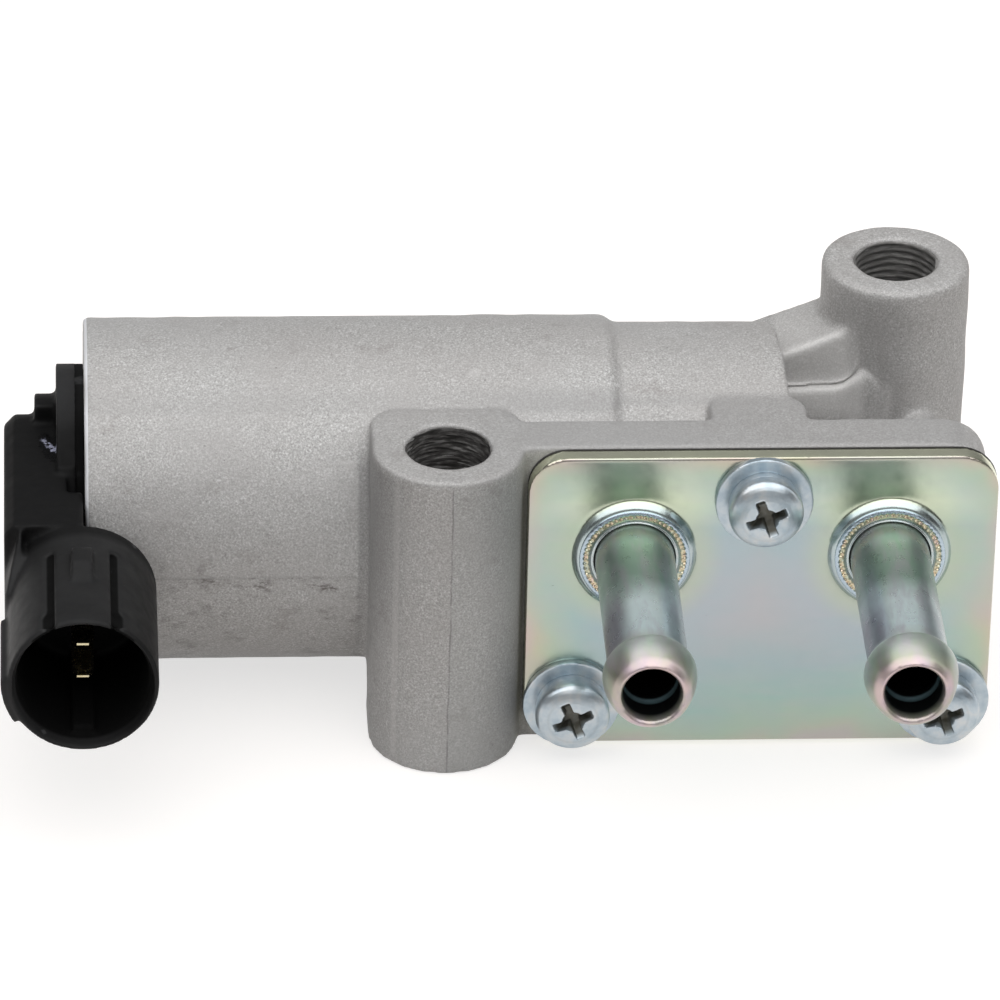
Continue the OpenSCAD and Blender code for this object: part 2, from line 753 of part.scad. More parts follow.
module flat_washer(at) {
    color([0.80, 0.84, 0.87]) facing_front(at[0], plate_face_y, at[1]) difference() {
        cylinder(h = washer_t, d = washer_d);
        translate([0, 0, -over])
            cylinder(h = washer_t + 2 * over, r = screw_d / 2 + screw_clearance);
    }
}

// Spring washer, flattened by its screw, with the slanting cut
module spring_washer(at, turn) {
    slit = 0.5;
    color([0.76, 0.80, 0.83]) facing_front(at[0], plate_face_y - washer_t, at[1])
        rotate([0, 0, turn]) difference() {
            cylinder(h = spring_washer_t, d = spring_washer_d);
            translate([0, 0, -over])
                cylinder(h = spring_washer_t + 2 * over, r = screw_d / 2 + screw_clearance);
            translate([0, 0, spring_washer_t / 2]) rotate([35, 0, 0])
                translate([0, -slit / 2, -2 * spring_washer_t])
                cube([spring_washer_d, slit, 4 * spring_washer_t]);
        }
}

// Disc, flange and O-ring spigot of the cap, turned about the barrel's axis. Its hub is cut down
// to the neck's top in front of the axis.
module cap_turning() {
    disc_r = cap_disc_d / 2;
    throat_r = cap_throat_d / 2;
    spigot_r = cavity_r - cap_ring_room;
    out = cap_disc_t;
    disc_back = out - cap_throat_len;
    on_barrel(neck_x) rotate_extrude() polygon([
        [0, 0], [disc_r - 0.3, 0], [disc_r, 0.3], [disc_r, disc_back], [throat_r, disc_back],
        [throat_r, out + lip_t], [stack_r, out + lip_t], [stack_r, out + lip_t + cap_flange_t],
        [spigot_r, out + lip_t + cap_flange_t],
        [spigot_r, out + lip_t + cap_flange_t + cap_ring_room],
        [0, out + lip_t + cap_flange_t + cap_ring_room]
    ]);
    difference() {
        axis_rod(neck_x - cap_hub_t, cap_hub_t + over, cap_hub_d / 2);
        translate([neck_x - cap_hub_t - over, barrel_y - cap_hub_d, barrel_z + neck_h / 2])
            cube([cap_hub_t + 3 * over, cap_hub_d, cap_hub_d]);
    }
}

// Neck from the disc to the back of the socket: round behind the barrel's axis, with a chamfered
// outer edge
module cap_neck() {
    r = neck_h / 2;
    neck_w = neck_t + over;
    neck_len = barrel_y + socket_back;
    root_w = barrel_left_x - neck_x - 0.2;
    root_len = 6.8;
    on_barrel(neck_left_x) rotate_extrude() polygon([
        [0, 0], [r - neck_chamfer, 0], [r, neck_chamfer], [r, neck_w], [0, neck_w]
    ]);
    facing_front(neck_left_x, barrel_y, barrel_z) linear_extrude(neck_len) polygon([
        [0, -r + neck_chamfer], [neck_chamfer, -r], [neck_w, -r], [neck_w, r],
        [neck_chamfer, r], [0, r - neck_chamfer]
    ]);
    translate([neck_x - over, -socket_back, barrel_z - r]) cube([root_w + over, root_len, neck_h]);
}

// Round shroud of the socket, with a thin rim
module socket_shroud() {
    outer_r = socket_d / 2;
    facing_front(socket_x, -socket_back, socket_z) rotate_extrude() polygon([
        [0, 0], [outer_r - 0.25, 0], [outer_r, 0.25], [outer_r, socket_len - 0.2],
        [outer_r - 0.2, socket_len], [0, socket_len]
    ]);
}

// Inside of the socket, opening out at the rim
module socket_inside() {
    inner_r = socket_d / 2 - socket_wall;
    depth = socket_len - socket_floor;
    facing_front(socket_x, floor_front_y, socket_z) rotate_extrude() polygon([
        [0, 0], [inner_r, 0], [inner_r, depth - 1.4], [inner_r + 0.45, depth],
        [inner_r + 0.45, depth + over], [0, depth + over]
    ]);
}

// Guide grooves on top of the socket, wider at the rim
module guide_grooves() {
    groove_z = socket_z + socket_d / 2;
    groove_back_y = -socket_back - 4.4;
    notch_w = 2;
    notch_len = 2.7;
    for (side = [-1, 1]) {
        inner_edge = side * (groove_pitch - groove_w) / 2;
        drop = socket_d / 2 - sqrt(pow(socket_d / 2, 2) - pow(groove_pitch / 2, 2));
        translate([socket_x + side * groove_pitch / 2 - groove_w / 2, socket_front_y - over,
                   groove_z - drop - groove_depth])
            cube([groove_w, groove_back_y - socket_front_y + over, 3]);
        translate([socket_x + inner_edge + (side > 0 ? 0 : -notch_w), socket_front_y + 0.5,
                   groove_z - drop - groove_depth - 0.15])
            cube([notch_w, notch_len, 3]);
    }
}

// Ramped bump that locks the plug
module lock_bump() {
    bump_z = socket_z + socket_d / 2;
    bump_back_y = -socket_back - 5.6;
    translate([socket_x - lock_w / 2, 0, 0]) rotate([90, 0, 90]) linear_extrude(lock_w) polygon([
        [bump_back_y, bump_z - 0.6], [bump_back_y, bump_z + lock_h * 0.8],
        [bump_back_y - 0.5, bump_z + lock_h], [bump_back_y - lock_len * 0.45, bump_z + lock_h],
        [bump_back_y - lock_len, bump_z - 0.1], [bump_back_y - lock_len, bump_z - 0.6]
    ]);
}

// Ridge along the left of the socket that keys the plug
module side_ridge() {
    ridge_r = socket_d / 2 + 0.65;
    ridge_len = socket_len * 0.62;
    facing_front(socket_x, socket_front_y + ridge_len + 0.4, socket_z) difference() {
        intersection() {
            cylinder(h = ridge_len, r = ridge_r);
            rotate([0, 0, 175]) translate([0, 0, -over]) linear_extrude(ridge_len + 2 * over)
                polygon([[0, 0], [12, 0], [12, 9.6]]);
        }
        translate([0, 0, -over]) cylinder(h = ridge_len + 2 * over, r = socket_d / 2 - 0.3);
    }
}

// Gusset between the neck and the left of the socket, its left side sloping up to a thin crest
module neck_gusset() {
    left_x = neck_left_x + 0.1;
    right_x = left_x + 1.7;
    top_z = barrel_z + neck_h / 2 - 0.3;
    foot_z = barrel_z - 3;
    front_y = -socket_back - 5.5;
    intersection() {
        facing_front(left_x, 0, 0) linear_extrude(-front_y + over) polygon([
            [0, foot_z], [right_x - left_x, foot_z], [right_x - left_x, top_z],
            [right_x - left_x - 0.3, top_z], [0, top_z - 4.6]
        ]);
        translate([left_x - over, 0, 0]) rotate([90, 0, 90])
            linear_extrude(right_x - left_x + 2 * over) polygon([
                [0, top_z], [-socket_back - 0.4, top_z], [front_y, barrel_z + 3],
                [front_y, foot_z], [0, foot_z]
            ]);
    }
}

// Tongue that carries the terminals through the end plate to the coil
module terminal_tongue(gap) {
    translate([cap_spigot_x, terminal_turn_y - tongue_w / 2 - gap, barrel_z - tongue_h / 2 - gap])
        cube([coil_x - cap_spigot_x, tongue_w + 2 * gap, tongue_h + 2 * gap]);
}

// Key rib inside the bottom of the socket
module key_rib() {
    key_w = 2.2;
    key_h = 1.1;
    inner_r = socket_d / 2 - socket_wall;
    translate([socket_x - key_w / 2, socket_front_y + 1.6, socket_z - inner_r - 0.4])
        cube([key_w, socket_len - socket_floor - 1.6, key_h + 0.4]);
}

module connector_cap() {
    color([0.10, 0.10, 0.105]) difference() {
        union() {
            cap_turning();
            cap_neck();
            terminal_tongue(0);
            side_ridge();
            neck_gusset();
            difference() {
                union() {
                    socket_shroud();
                    lock_bump();
                }
                guide_grooves();
                socket_inside();
            }
            key_rib();
        }
        terminal_blank(1);
        terminal_blank(-1);
    }
}

// Terminal above or below the socket's axis: a blade forward, a step inside the socket's floor
// and a leg through the neck and the disc to the coil
module terminal_blank(side) {
    at_z = barrel_z + side * terminal_pitch / 2 - terminal_t / 2;
    taper = 1.2;
    half_w = terminal_w / 2;
    half_tip_w = terminal_w * 0.275;
    step_y = -socket_back - socket_floor / 2;
    step = 1.75;
    run_x = socket_x - step;
    translate([0, 0, at_z]) linear_extrude(terminal_t) polygon([
        [socket_x - half_tip_w, terminal_tip_y], [socket_x + half_tip_w, terminal_tip_y],
        [socket_x + half_w, terminal_tip_y + taper], [socket_x + half_w, step_y - 0.15],
        [run_x + half_w, step_y + 1.05], [run_x + half_w, terminal_turn_y - half_w],
        [coil_x, terminal_turn_y - half_w], [coil_x, terminal_turn_y + half_w],
        [run_x - half_w, terminal_turn_y + half_w], [run_x - half_w, step_y + 0.3],
        [socket_x - half_w, step_y - 0.9], [socket_x - half_w, terminal_tip_y + taper]
    ]);
}

module terminal_upper() {
    color([0.86, 0.78, 0.52]) terminal_blank(1);
}

module terminal_lower() {
    color([0.86, 0.78, 0.52]) terminal_blank(-1);
}

module cap_o_ring() {
    color([0.09, 0.09, 0.09]) on_barrel(cap_spigot_x + cap_ring_room / 2) rotate_extrude()
        translate([cavity_r - cap_ring_room / 2, 0]) circle(d = cap_ring_cord, $fn = 32);
}

module end_plate() {
    color([0.62, 0.63, 0.62]) difference() {
        axis_ring(end_plate_x, end_plate_t, stack_r, core_spigot_r);
        terminal_tongue(seat_fit_gap);
    }
}

module flux_sleeve() {
    color([0.66, 0.66, 0.64]) axis_ring(coil_x, coil_len, stack_r, sleeve_bore_r);
}

module front_plate() {
    color([0.62, 0.63, 0.62]) axis_ring(front_plate_x, front_plate_t, stack_r, armature_bore_r);
}

module coil_bobbin() {
    flange_r = sleeve_bore_r - seat_fit_gap;
    tube_r = armature_bore_r + bobbin_wall;
    color([0.20, 0.20, 0.18]) on_barrel(coil_x) rotate_extrude() polygon([
        [armature_bore_r, 0], [flange_r, 0], [flange_r, bobbin_flange_t],
        [tube_r, bobbin_flange_t], [tube_r, coil_len - bobbin_flange_t],
        [flange_r, coil_len - bobbin_flange_t], [flange_r, coil_len],
        [armature_bore_r, coil_len]
    ]);
}

module coil_winding() {
    color([0.72, 0.36, 0.16]) axis_ring(coil_x + bobbin_flange_t, coil_len - 2 * bobbin_flange_t,
        sleeve_bore_r - seat_fit_gap - winding_below_rim, armature_bore_r + bobbin_wall);
}

// Fixed core: a spigot in the end plate, a bore for the bush and the shaft's travel, and a
// cone-shaped mouth for the armature
module pole_core() {
    face = core_face_x - end_plate_x;
    floor_at = core_floor_x - end_plate_x;
    mouth_gap = 0.3;
    color([0.64, 0.64, 0.63]) on_barrel(end_plate_x) rotate_extrude() polygon([
        [bush_d / 2, 0], [core_spigot_r, 0], [core_spigot_r, end_plate_t],
        [core_r, end_plate_t], [core_r, face], [cone_root_r + mouth_gap, face],
        [cone_tip_r + mouth_gap, floor_at], [bush_d / 2, floor_at]
    ]);
}

module rear_bush() {
    color([0.72, 0.54, 0.28])
        axis_ring(rear_bush_x, rear_bush_len, bush_d / 2, shaft_d / 2 + shaft_gap);
}

// Disc that closes the solenoid and holds the front bush and the spring
module bush_holder() {
    disc_at = bush_disc_x - bush_holder_x;
    outer_r = inlet_chamber_d / 2 - seat_fit_gap;
    color([0.68, 0.68, 0.66]) on_barrel(bush_holder_x) rotate_extrude() polygon([
        [bush_d / 2, 0], [bush_hub_d / 2, 0], [bush_hub_d / 2, disc_at], [outer_r, disc_at],
        [outer_r, disc_at + bush_disc_t], [bush_hub_d / 2, disc_at + bush_disc_t],
        [bush_hub_d / 2, front_bush_len], [bush_d / 2, front_bush_len]
    ]);
}

module front_bush() {
    color([0.72, 0.54, 0.28])
        axis_ring(bush_holder_x, front_bush_len, bush_d / 2, shaft_d / 2 + shaft_gap);
}

// Armature with a cone that enters the mouth of the core
module armature() {
    color([0.60, 0.61, 0.62]) on_barrel(armature_x) rotate_extrude() polygon([
        [shaft_d / 2, 0], [cone_tip_r, 0], [cone_root_r, armature_cone],
        [armature_d / 2, armature_cone], [armature_d / 2, armature_len - 0.4],
        [armature_d / 2 - 0.4, armature_len], [shaft_d / 2, armature_len]
    ]);
}

// Shaft with the riveted head that holds the valve
module valve_shaft() {
    shaft_len = valve_tip_x - shaft_x;
    shaft_r = shaft_d / 2;
    color([0.78, 0.79, 0.80]) on_barrel(shaft_x) rotate_extrude() polygon([
        [0, 0], [shaft_r - 0.3, 0], [shaft_r, 0.3], [shaft_r, shaft_len],
        [shaft_r + 0.8, shaft_len], [shaft_r + 0.5, shaft_len + rivet_len],
        [0, shaft_len + rivet_len]
    ]);
}

// Valve head with the cone that shuts against the seat
module valve_head() {
    head_r = valve_head_d / 2;
    hub_r = bush_hub_d / 2;
    hub_len = 1.5;
    total = hub_len + valve_head_t + valve_cone_len;
    color([0.80, 0.72, 0.45]) on_barrel(valve_head_x - hub_len) rotate_extrude() polygon([
        [shaft_d / 2, 0], [hub_r, 0], [hub_r, hub_len], [head_r, hub_len],
        [head_r, hub_len + valve_head_t], [head_r - valve_cone_len, total],
        [shaft_d / 2, total]
    ]);
}

module valve_seat() {
    color([0.74, 0.75, 0.76]) axis_ring(seat_x, seat_len, seat_d / 2, seat_bore_d / 2);
}

// Return spring between the bush holder and the valve head, with its ends closed
module return_spring() {
    coil_r = bush_hub_d / 2 + spring_wire_d / 2 + 0.3;
    wire_r = spring_wire_d / 2;
    rings_a_turn = 16;
    rings = rings_a_turn * (spring_turns + 2);
    sides = 8;
    rise = valve_head_x - spring_x - 2 * spring_wire_d - 0.1;
    points = [for (i = [0:rings]) let(
            turn = i / rings_a_turn,
            climb = max(0, min(1, (turn - 1) / spring_turns)),
            closed = min(turn, 1) + max(0, turn - spring_turns - 1),
            along = wire_r + 0.05 + climb * (rise - spring_wire_d) + closed * spring_wire_d)
        for (j = [0:sides - 1]) let(a = 360 * j / sides, r = coil_r + wire_r * cos(a))
            [r * cos(360 * turn), r * sin(360 * turn), along + wire_r * sin(a)]];
    skin = [for (i = [0:rings - 1]) for (j = [0:sides - 1]) let(k = (j + 1) % sides)
        [i * sides + j, i * sides + k, (i + 1) * sides + k, (i + 1) * sides + j]];
    start_face = [for (j = [0:sides - 1]) sides - 1 - j];
    end_face = [for (j = [0:sides - 1]) rings * sides + j];
    color([0.70, 0.72, 0.74]) on_barrel(spring_x)
        polyhedron(points, concat([start_face, end_face], skin));
}

module port_o_ring(x) {
    color([0.09, 0.09, 0.09]) translate([x, barrel_y, port_ring_cord / 2]) rotate_extrude()
        translate([port_groove_r + port_groove_w / 2, 0]) circle(d = port_ring_cord, $fn = 32);
}

housing();
coolant_plate();
coolant_gasket();
coolant_nipple(nipple_left_x);  // coolant_nipple_left
coolant_nipple(nipple_right_x);  // coolant_nipple_right
cover_screw(screw_top_at, 22);  // cover_screw_top
cover_screw(screw_left_at, 24);  // cover_screw_left
cover_screw(screw_right_at, 20);  // cover_screw_right
spring_washer(screw_top_at, 200);  // spring_washer_top
spring_washer(screw_left_at, 150);  // spring_washer_left
spring_washer(screw_right_at, 250);  // spring_washer_right
flat_washer(screw_top_at);  // flat_washer_top
flat_washer(screw_left_at);  // flat_washer_left
flat_washer(screw_right_at);  // flat_washer_right
connector_cap();
terminal_upper();
terminal_lower();
cap_o_ring();
end_plate();
flux_sleeve();
front_plate();
coil_bobbin();
coil_winding();
pole_core();
rear_bush();
bush_holder();
front_bush();
armature();
valve_shaft();
valve_head();
valve_seat();
return_spring();
port_o_ring(inlet_port_x);  // port_o_ring_inlet
port_o_ring(outlet_port_x);  // port_o_ring_outlet
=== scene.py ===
"""Studio scene of an idle air control valve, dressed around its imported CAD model.

Lengths are in millimetres in the model's own frame, and become metres where a mesh is made.
"""
import json
import math

import bpy
import numpy as np
from mathutils import Matrix, Vector


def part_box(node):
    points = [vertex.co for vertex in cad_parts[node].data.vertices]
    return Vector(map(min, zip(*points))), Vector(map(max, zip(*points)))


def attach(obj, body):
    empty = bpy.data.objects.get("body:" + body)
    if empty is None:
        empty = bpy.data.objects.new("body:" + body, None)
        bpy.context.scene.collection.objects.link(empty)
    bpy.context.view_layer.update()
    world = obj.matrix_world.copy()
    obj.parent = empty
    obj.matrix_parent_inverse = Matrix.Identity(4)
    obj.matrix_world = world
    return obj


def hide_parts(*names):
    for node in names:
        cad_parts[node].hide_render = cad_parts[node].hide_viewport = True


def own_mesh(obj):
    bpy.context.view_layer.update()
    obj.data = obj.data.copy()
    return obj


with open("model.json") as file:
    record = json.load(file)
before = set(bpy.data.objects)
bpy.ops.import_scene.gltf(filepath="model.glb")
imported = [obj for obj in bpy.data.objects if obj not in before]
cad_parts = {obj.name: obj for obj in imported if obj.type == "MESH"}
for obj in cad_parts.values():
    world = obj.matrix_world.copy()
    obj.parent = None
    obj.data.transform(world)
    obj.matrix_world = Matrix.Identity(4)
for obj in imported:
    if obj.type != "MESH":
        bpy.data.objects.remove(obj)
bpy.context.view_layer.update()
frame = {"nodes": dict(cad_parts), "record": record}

MM = 0.001
SEED = 7
# Angle in degrees from which two faces of a softened piece are shaded apart
SHARP_ANGLE = 28
# Degrees that each spring washer is turned by, to hide its slit below the screw's head
WASHER_TURN = {"top": 0.0, "left": 130.0, "right": 0.0}

# Camera, fitted to the photograph
CAMERA_AT = (-40.472, -713.838, 443.913)
CAMERA_DOWN = 30.206
CAMERA_TURN = 3.665
CAMERA_ROLL = 1.394
CAMERA_LENS = 298.54
CAMERA_SENSOR = 36.0

# Glow of the floor to the camera, and in reflections
FLOOR_SEEN = 0.66
FLOOR_GLOW = 0.51
# Strength of the world from in front of the object (low Y) to behind it
WORLD_DEPTH = (-0.6, 0.6, 0.30, 0.27)
# Share of that strength from the middle to the sides
WORLD_SIDES = (0.25, 0.85, 1.0, 0.20)


def node_box(node):
    """Lowest and highest corner of a CAD node."""
    low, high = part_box(node)
    return np.array(low) / MM, np.array(high) / MM


def mount_place(name):
    """Place of one of the record's mounts."""
    mounts = {m["name"]: m for m in frame["record"]["mounts"]}
    return np.array(mounts[name]["pos_m"]) / MM


def middle(node):
    low, high = node_box(node)
    return (low + high) / 2


# Places taken from the frame
AXIS = middle("valve_shaft")
FRONT_HOLE = mount_place("front_bolt_hole")
REAR_HOLE = mount_place("rear_bolt_hole")
SOCKET = mount_place("plug_socket")
PLATE_LOW, PLATE_HIGH = node_box("coolant_plate")
PLATE_FACE = node_box("flat_washer_top")[1][1]
SCREW_FACE = node_box("cover_screw_top")[0][1]
SCREWS = [middle("cover_screw_" + place) for place in ("top", "left", "right")]
NIPPLES = [middle("coolant_nipple_" + side) for side in ("left", "right")]
NIPPLE_TIP = node_box("coolant_nipple_left")[0][1]
REAR_TOP = node_box("housing")[1][2]
BARREL_LEFT = node_box("housing")[0][0]
# Sizes of the casting that no box of the frame gives
BARREL_WALL = 2.25
BARREL_R = AXIS[2] - node_box("flux_sleeve")[0][2] + BARREL_WALL
BARREL_RIGHT = 18.0
VALVE_END = 34.45
HOLE_R = 4.3
FRONT_TOP = 33.7
# Radius of the cap's disc
DISC_R = 12.72
# Middle of the gouge on top of the cap's neck
GOUGE = np.array([-39.35, 12.6, AXIS[2] + 7.1])
# Point that the lights are aimed at
LIGHT_AIM = (5, 10, 15)


def add_object(name, data):
    made = bpy.data.objects.new(name, data)
    bpy.context.scene.collection.objects.link(made)
    return made


def mesh_from(name, points, faces):
    """Smooth-shaded mesh from points in millimetres."""
    mesh = bpy.data.meshes.new(name)
    mesh.from_pydata([tuple(p) for p in np.asarray(points, float)], [], faces)
    mesh.update()
    mesh.shade_smooth()
    return mesh


def tube_faces(rows, steps, closed=True, flip=False):
    """Quads between rows of points that each run round once; closed joins last row and first."""
    faces = []
    for i in range(rows if closed else rows - 1):
        j = (i + 1) % rows
        for k in range(steps):
            m = (k + 1) % steps
            a, b, c, d = i * steps + k, j * steps + k, j * steps + m, i * steps + m
            faces.append((a, d, c, b) if flip else (a, b, c, d))
    return faces


def cad_mesh(node):
    """Copy of a CAD node's mesh, in millimetres."""
    mesh = frame["nodes"][node].data.copy()
    mesh.transform(Matrix.Scale(1 / MM, 4))
    return mesh


def get_points(mesh):
    points = np.empty(len(mesh.vertices) * 3)
    mesh.vertices.foreach_get("co", points)
    return points.reshape(-1, 3)


def set_points(mesh, points):
    mesh.vertices.foreach_set("co", np.asarray(points, float).ravel())
    mesh.update()


def modify(piece, kind, **settings):
    """Replaces a piece's mesh by what one modifier makes of it."""
    modifier = piece.modifiers.new(kind, kind)
    for key, value in settings.items():
        setattr(modifier, key, value)
    graph = bpy.context.evaluated_depsgraph_get()
    made = bpy.data.meshes.new_from_object(piece.evaluated_get(graph))
    old = piece.data
    piece.modifiers.clear()
    piece.data = made
    bpy.data.meshes.remove(old)


def relax(points, edges, passes, weight):
    """Moves each point towards the middle of its neighbours, by one weight or by one a point."""
    count = len(points)
    a, b = edges[:, 0], edges[:, 1]
    links = np.bincount(a, minlength=count) + np.bincount(b, minlength=count)
    links = np.maximum(links, 1)[:, None]
    weight = np.broadcast_to(np.asarray(weight, float), (count,))[:, None]
    for _ in range(passes):
        total = np.stack([
            np.bincount(a, points[b, k], count) + np.bincount(b, points[a, k], count)
            for k in range(3)
        ], axis=1)
        points = points + weight * (total / links - points)
    return points


def mesh_edges(mesh):
    edges = np.empty(len(mesh.edges) * 2, np.int64)
    mesh.edges.foreach_get("vertices", edges)
    return edges.reshape(-1, 2)


def join_meshes(name, meshes):
    """One mesh that holds several."""
    points, faces, start = [], [], 0
    for mesh in meshes:
        points.append(get_points(mesh))
        faces += [[start + v for v in face.vertices] for face in mesh.polygons]
        start += len(mesh.vertices)
        bpy.data.meshes.remove(mesh)
    return mesh_from(name, np.concatenate(points), faces)


def soften(node, voxel, passes, limit, shape=None, weight=0.5):
    """Copy of a CAD node with its edges rounded: remeshed at a voxel size, relaxed, shaped further
    by a function that may change its points in place, and brought under a number of triangles."""
    piece = add_object(node + "_rough", cad_mesh(node))
    modify(piece, "REMESH", mode="VOXEL", voxel_size=voxel, use_smooth_shade=True)
    mesh = piece.data
    points = get_points(mesh)
    strength = weight(points) if callable(weight) else weight
    points = relax(points, mesh_edges(mesh), passes, strength)
    set_points(mesh, shape(points) if shape else points)
    triangles = 2 * len(mesh.polygons)
    if triangles > limit:
        modify(piece, "DECIMATE", ratio=limit / triangles)
    piece.data.set_sharp_from_angle(angle=math.radians(SHARP_ANGLE))
    modify(piece, "WEIGHTED_NORMAL", mode="FACE_AREA", keep_sharp=True)
    mesh = piece.data
    bpy.data.objects.remove(piece)
    return mesh


def ripple(points, size, seed=0):
    """Smooth random value of about -1 to 1 at each point, with features of a given size."""
    rng = np.random.default_rng(SEED + seed)
    count = 14
    waves = rng.normal(size=(count, 3))
    waves *= (2 * math.pi / size / np.linalg.norm(waves, axis=1))[:, None]
    waves *= rng.uniform(0.6, 1.5, (count, 1))
    phases = rng.uniform(0, 2 * math.pi, count)
    return np.sin(points @ waves.T + phases).sum(axis=1) / math.sqrt(count)


def finish_piece(name, mesh, slot, replaced=(), material=None):
    """Turns a mesh in millimetres into a piece in metres that rides the fixed body."""
    mesh.transform(Matrix.Scale(MM, 4))
    mesh.materials.clear()
    mesh.materials.append(material or MATERIALS[slot])
    piece = add_object(name, mesh)
    piece.data.name = name
    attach(piece, "body")
    if replaced:
        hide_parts(*replaced)
    return piece


class Graph:
    """Short way to write the nodes of a material or of the world."""

    def __init__(self, owner, coords="Object", scale=1 / MM):
        owner.use_nodes = True
        self.owner = owner
        self.tree = owner.node_tree
        self.shader = self.tree.nodes.get("Principled BSDF") or self.tree.nodes["Background"]
        place = self.add("ShaderNodeTexCoord").outputs[coords]
        self.place = self.add("ShaderNodeVectorMath", {0: place, "Scale": scale},
                              operation="SCALE").outputs[0]
        self.xyz = tuple(self.add("ShaderNodeSeparateXYZ", {0: self.place}).outputs)

    def add(self, kind, sockets=None, **settings):
        node = self.tree.nodes.new(kind)
        for key, value in settings.items():
            setattr(node, key, value)
        for key, value in (sockets or {}).items():
            self.put(node.inputs[key], value)
        return node

    def put(self, socket, value):
        """Links a socket's input to a value that is a socket, or sets it to a plain one."""
        if isinstance(value, bpy.types.NodeSocket):
            self.tree.links.new(value, socket)
        elif socket.type == "RGBA":
            socket.default_value = (*value, 1)
        else:
            socket.default_value = value

    def noise(self, size, detail=2.0, rough=0.5, place=None):
        """Noise with features of about that many millimetres."""
        return self.add("ShaderNodeTexNoise", {
            "Vector": place or self.place, "Scale": 1 / size, "Detail": detail,
            "Roughness": rough}).outputs["Fac"]

    def cells(self, size, place=None):
        """Distance from the nearest of scattered points, with cells of about that size."""
        return self.add("ShaderNodeTexVoronoi", {
            "Vector": place or self.place, "Scale": 1 / size}).outputs["Distance"]

    def pointiness(self):
        return self.add("ShaderNodeNewGeometry").outputs["Pointiness"]

    def stretch(self, x, y, z):
        """Coordinates stretched by a factor along each axis."""
        return self.add("ShaderNodeVectorMath", {0: self.place, 1: (x, y, z)},
                        operation="MULTIPLY").outputs[0]

    def math(self, operation, a, b=0.0, clamp=False):
        return self.add("ShaderNodeMath", {0: a, 1: b}, operation=operation,
                        use_clamp=clamp).outputs[0]

    def product(self, first, *others):
        for other in others:
            first = self.math("MULTIPLY", first, other)
        return first

    def off(self, value, centre):
        """How far a value is from a centre, on either side."""
        return self.math("ABSOLUTE", self.math("SUBTRACT", value, centre))

    def reach(self, a, b, centre=(0.0, 0.0)):
        """Distance from a centre in the plane of two coordinates."""
        away = [self.math("SUBTRACT", value, c) for value, c in zip((a, b), centre)]
        return self.math("SQRT", self.math("ADD", *(self.product(v, v) for v in away)))

    def span(self, value, start, end, at_start=0.0, at_end=1.0, smooth=False):
        """Maps start to one number and end to another, and holds them outside; start may be the
        higher one."""
        return self.add("ShaderNodeMapRange", {
            "Value": value, "From Min": start, "From Max": end, "To Min": at_start,
            "To Max": at_end}, interpolation_type="SMOOTHSTEP" if smooth else "LINEAR"
            ).outputs["Result"]

    def layers(self, colour, *rows):
        """Lays tints over a colour; a row is a factor, its tint and the share of it that counts."""
        for factor, tint, *share in rows:
            colour = self.add("ShaderNodeMix", {0: self.product(factor, *share), 6: colour,
                                                7: tint}, data_type="RGBA").outputs[2]
        return colour

    def ramp(self, value, stops):
        """Colour along a value; stops are (place, colour) pairs."""
        node = self.add("ShaderNodeValToRGB", {"Fac": value})
        band = node.color_ramp
        while len(band.elements) > len(stops):
            band.elements.remove(band.elements[-1])
        while len(band.elements) < len(stops):
            band.elements.new(1.0)
        for element, (place, colour) in zip(band.elements, stops):
            element.position = place
            element.color = (*colour, 1)
        return node.outputs["Color"]

    def bump(self, height, distance, strength=1.0, normal=None):
        sockets = {"Height": height, "Distance": distance * MM, "Strength": strength}
        if normal is not None:
            sockets["Normal"] = normal
        return self.add("ShaderNodeBump", sockets).outputs["Normal"]

    def finish(self, colour, rough, metallic=0.0, normal=None, **others):
        """The material, once its shader's inputs are set."""
        others.update({"Base_Color": colour, "Roughness": rough, "Metallic": metallic})
        if normal is not None:
            others["Normal"] = normal
        for name, value in others.items():
            self.put(self.shader.inputs[name.replace("_", " ")], value)
        return self.owner


def material_graph(name):
    return Graph(bpy.data.materials.new(name))


def cast_aluminium():
    """Tumbled die casting: pale crushed specks and edges, darker pits and faint blotches."""
    g = material_graph("cast_aluminium")
    speck = g.noise(0.20, 2.0, 0.7)
    grain = g.noise(0.55, 4.0, 0.62)
    pits = g.span(g.cells(1.05, g.stretch(1.0, 1.0, 1.3)), 0.0, 0.15, smooth=True)
    base = g.layers(cast_skin(g, speck, grain, pits), *cast_regions(g))
    rough = g.span(grain, 0.3, 0.7, 0.56, 0.70)
    normal = g.bump(grain, 0.05, 0.8)
    normal = g.bump(speck, 0.030, 0.9, normal)
    normal = g.bump(pits, 0.05, 0.45, normal)
    return g.finish(base, rough, 0.36, normal, Specular_IOR_Level=0.55)


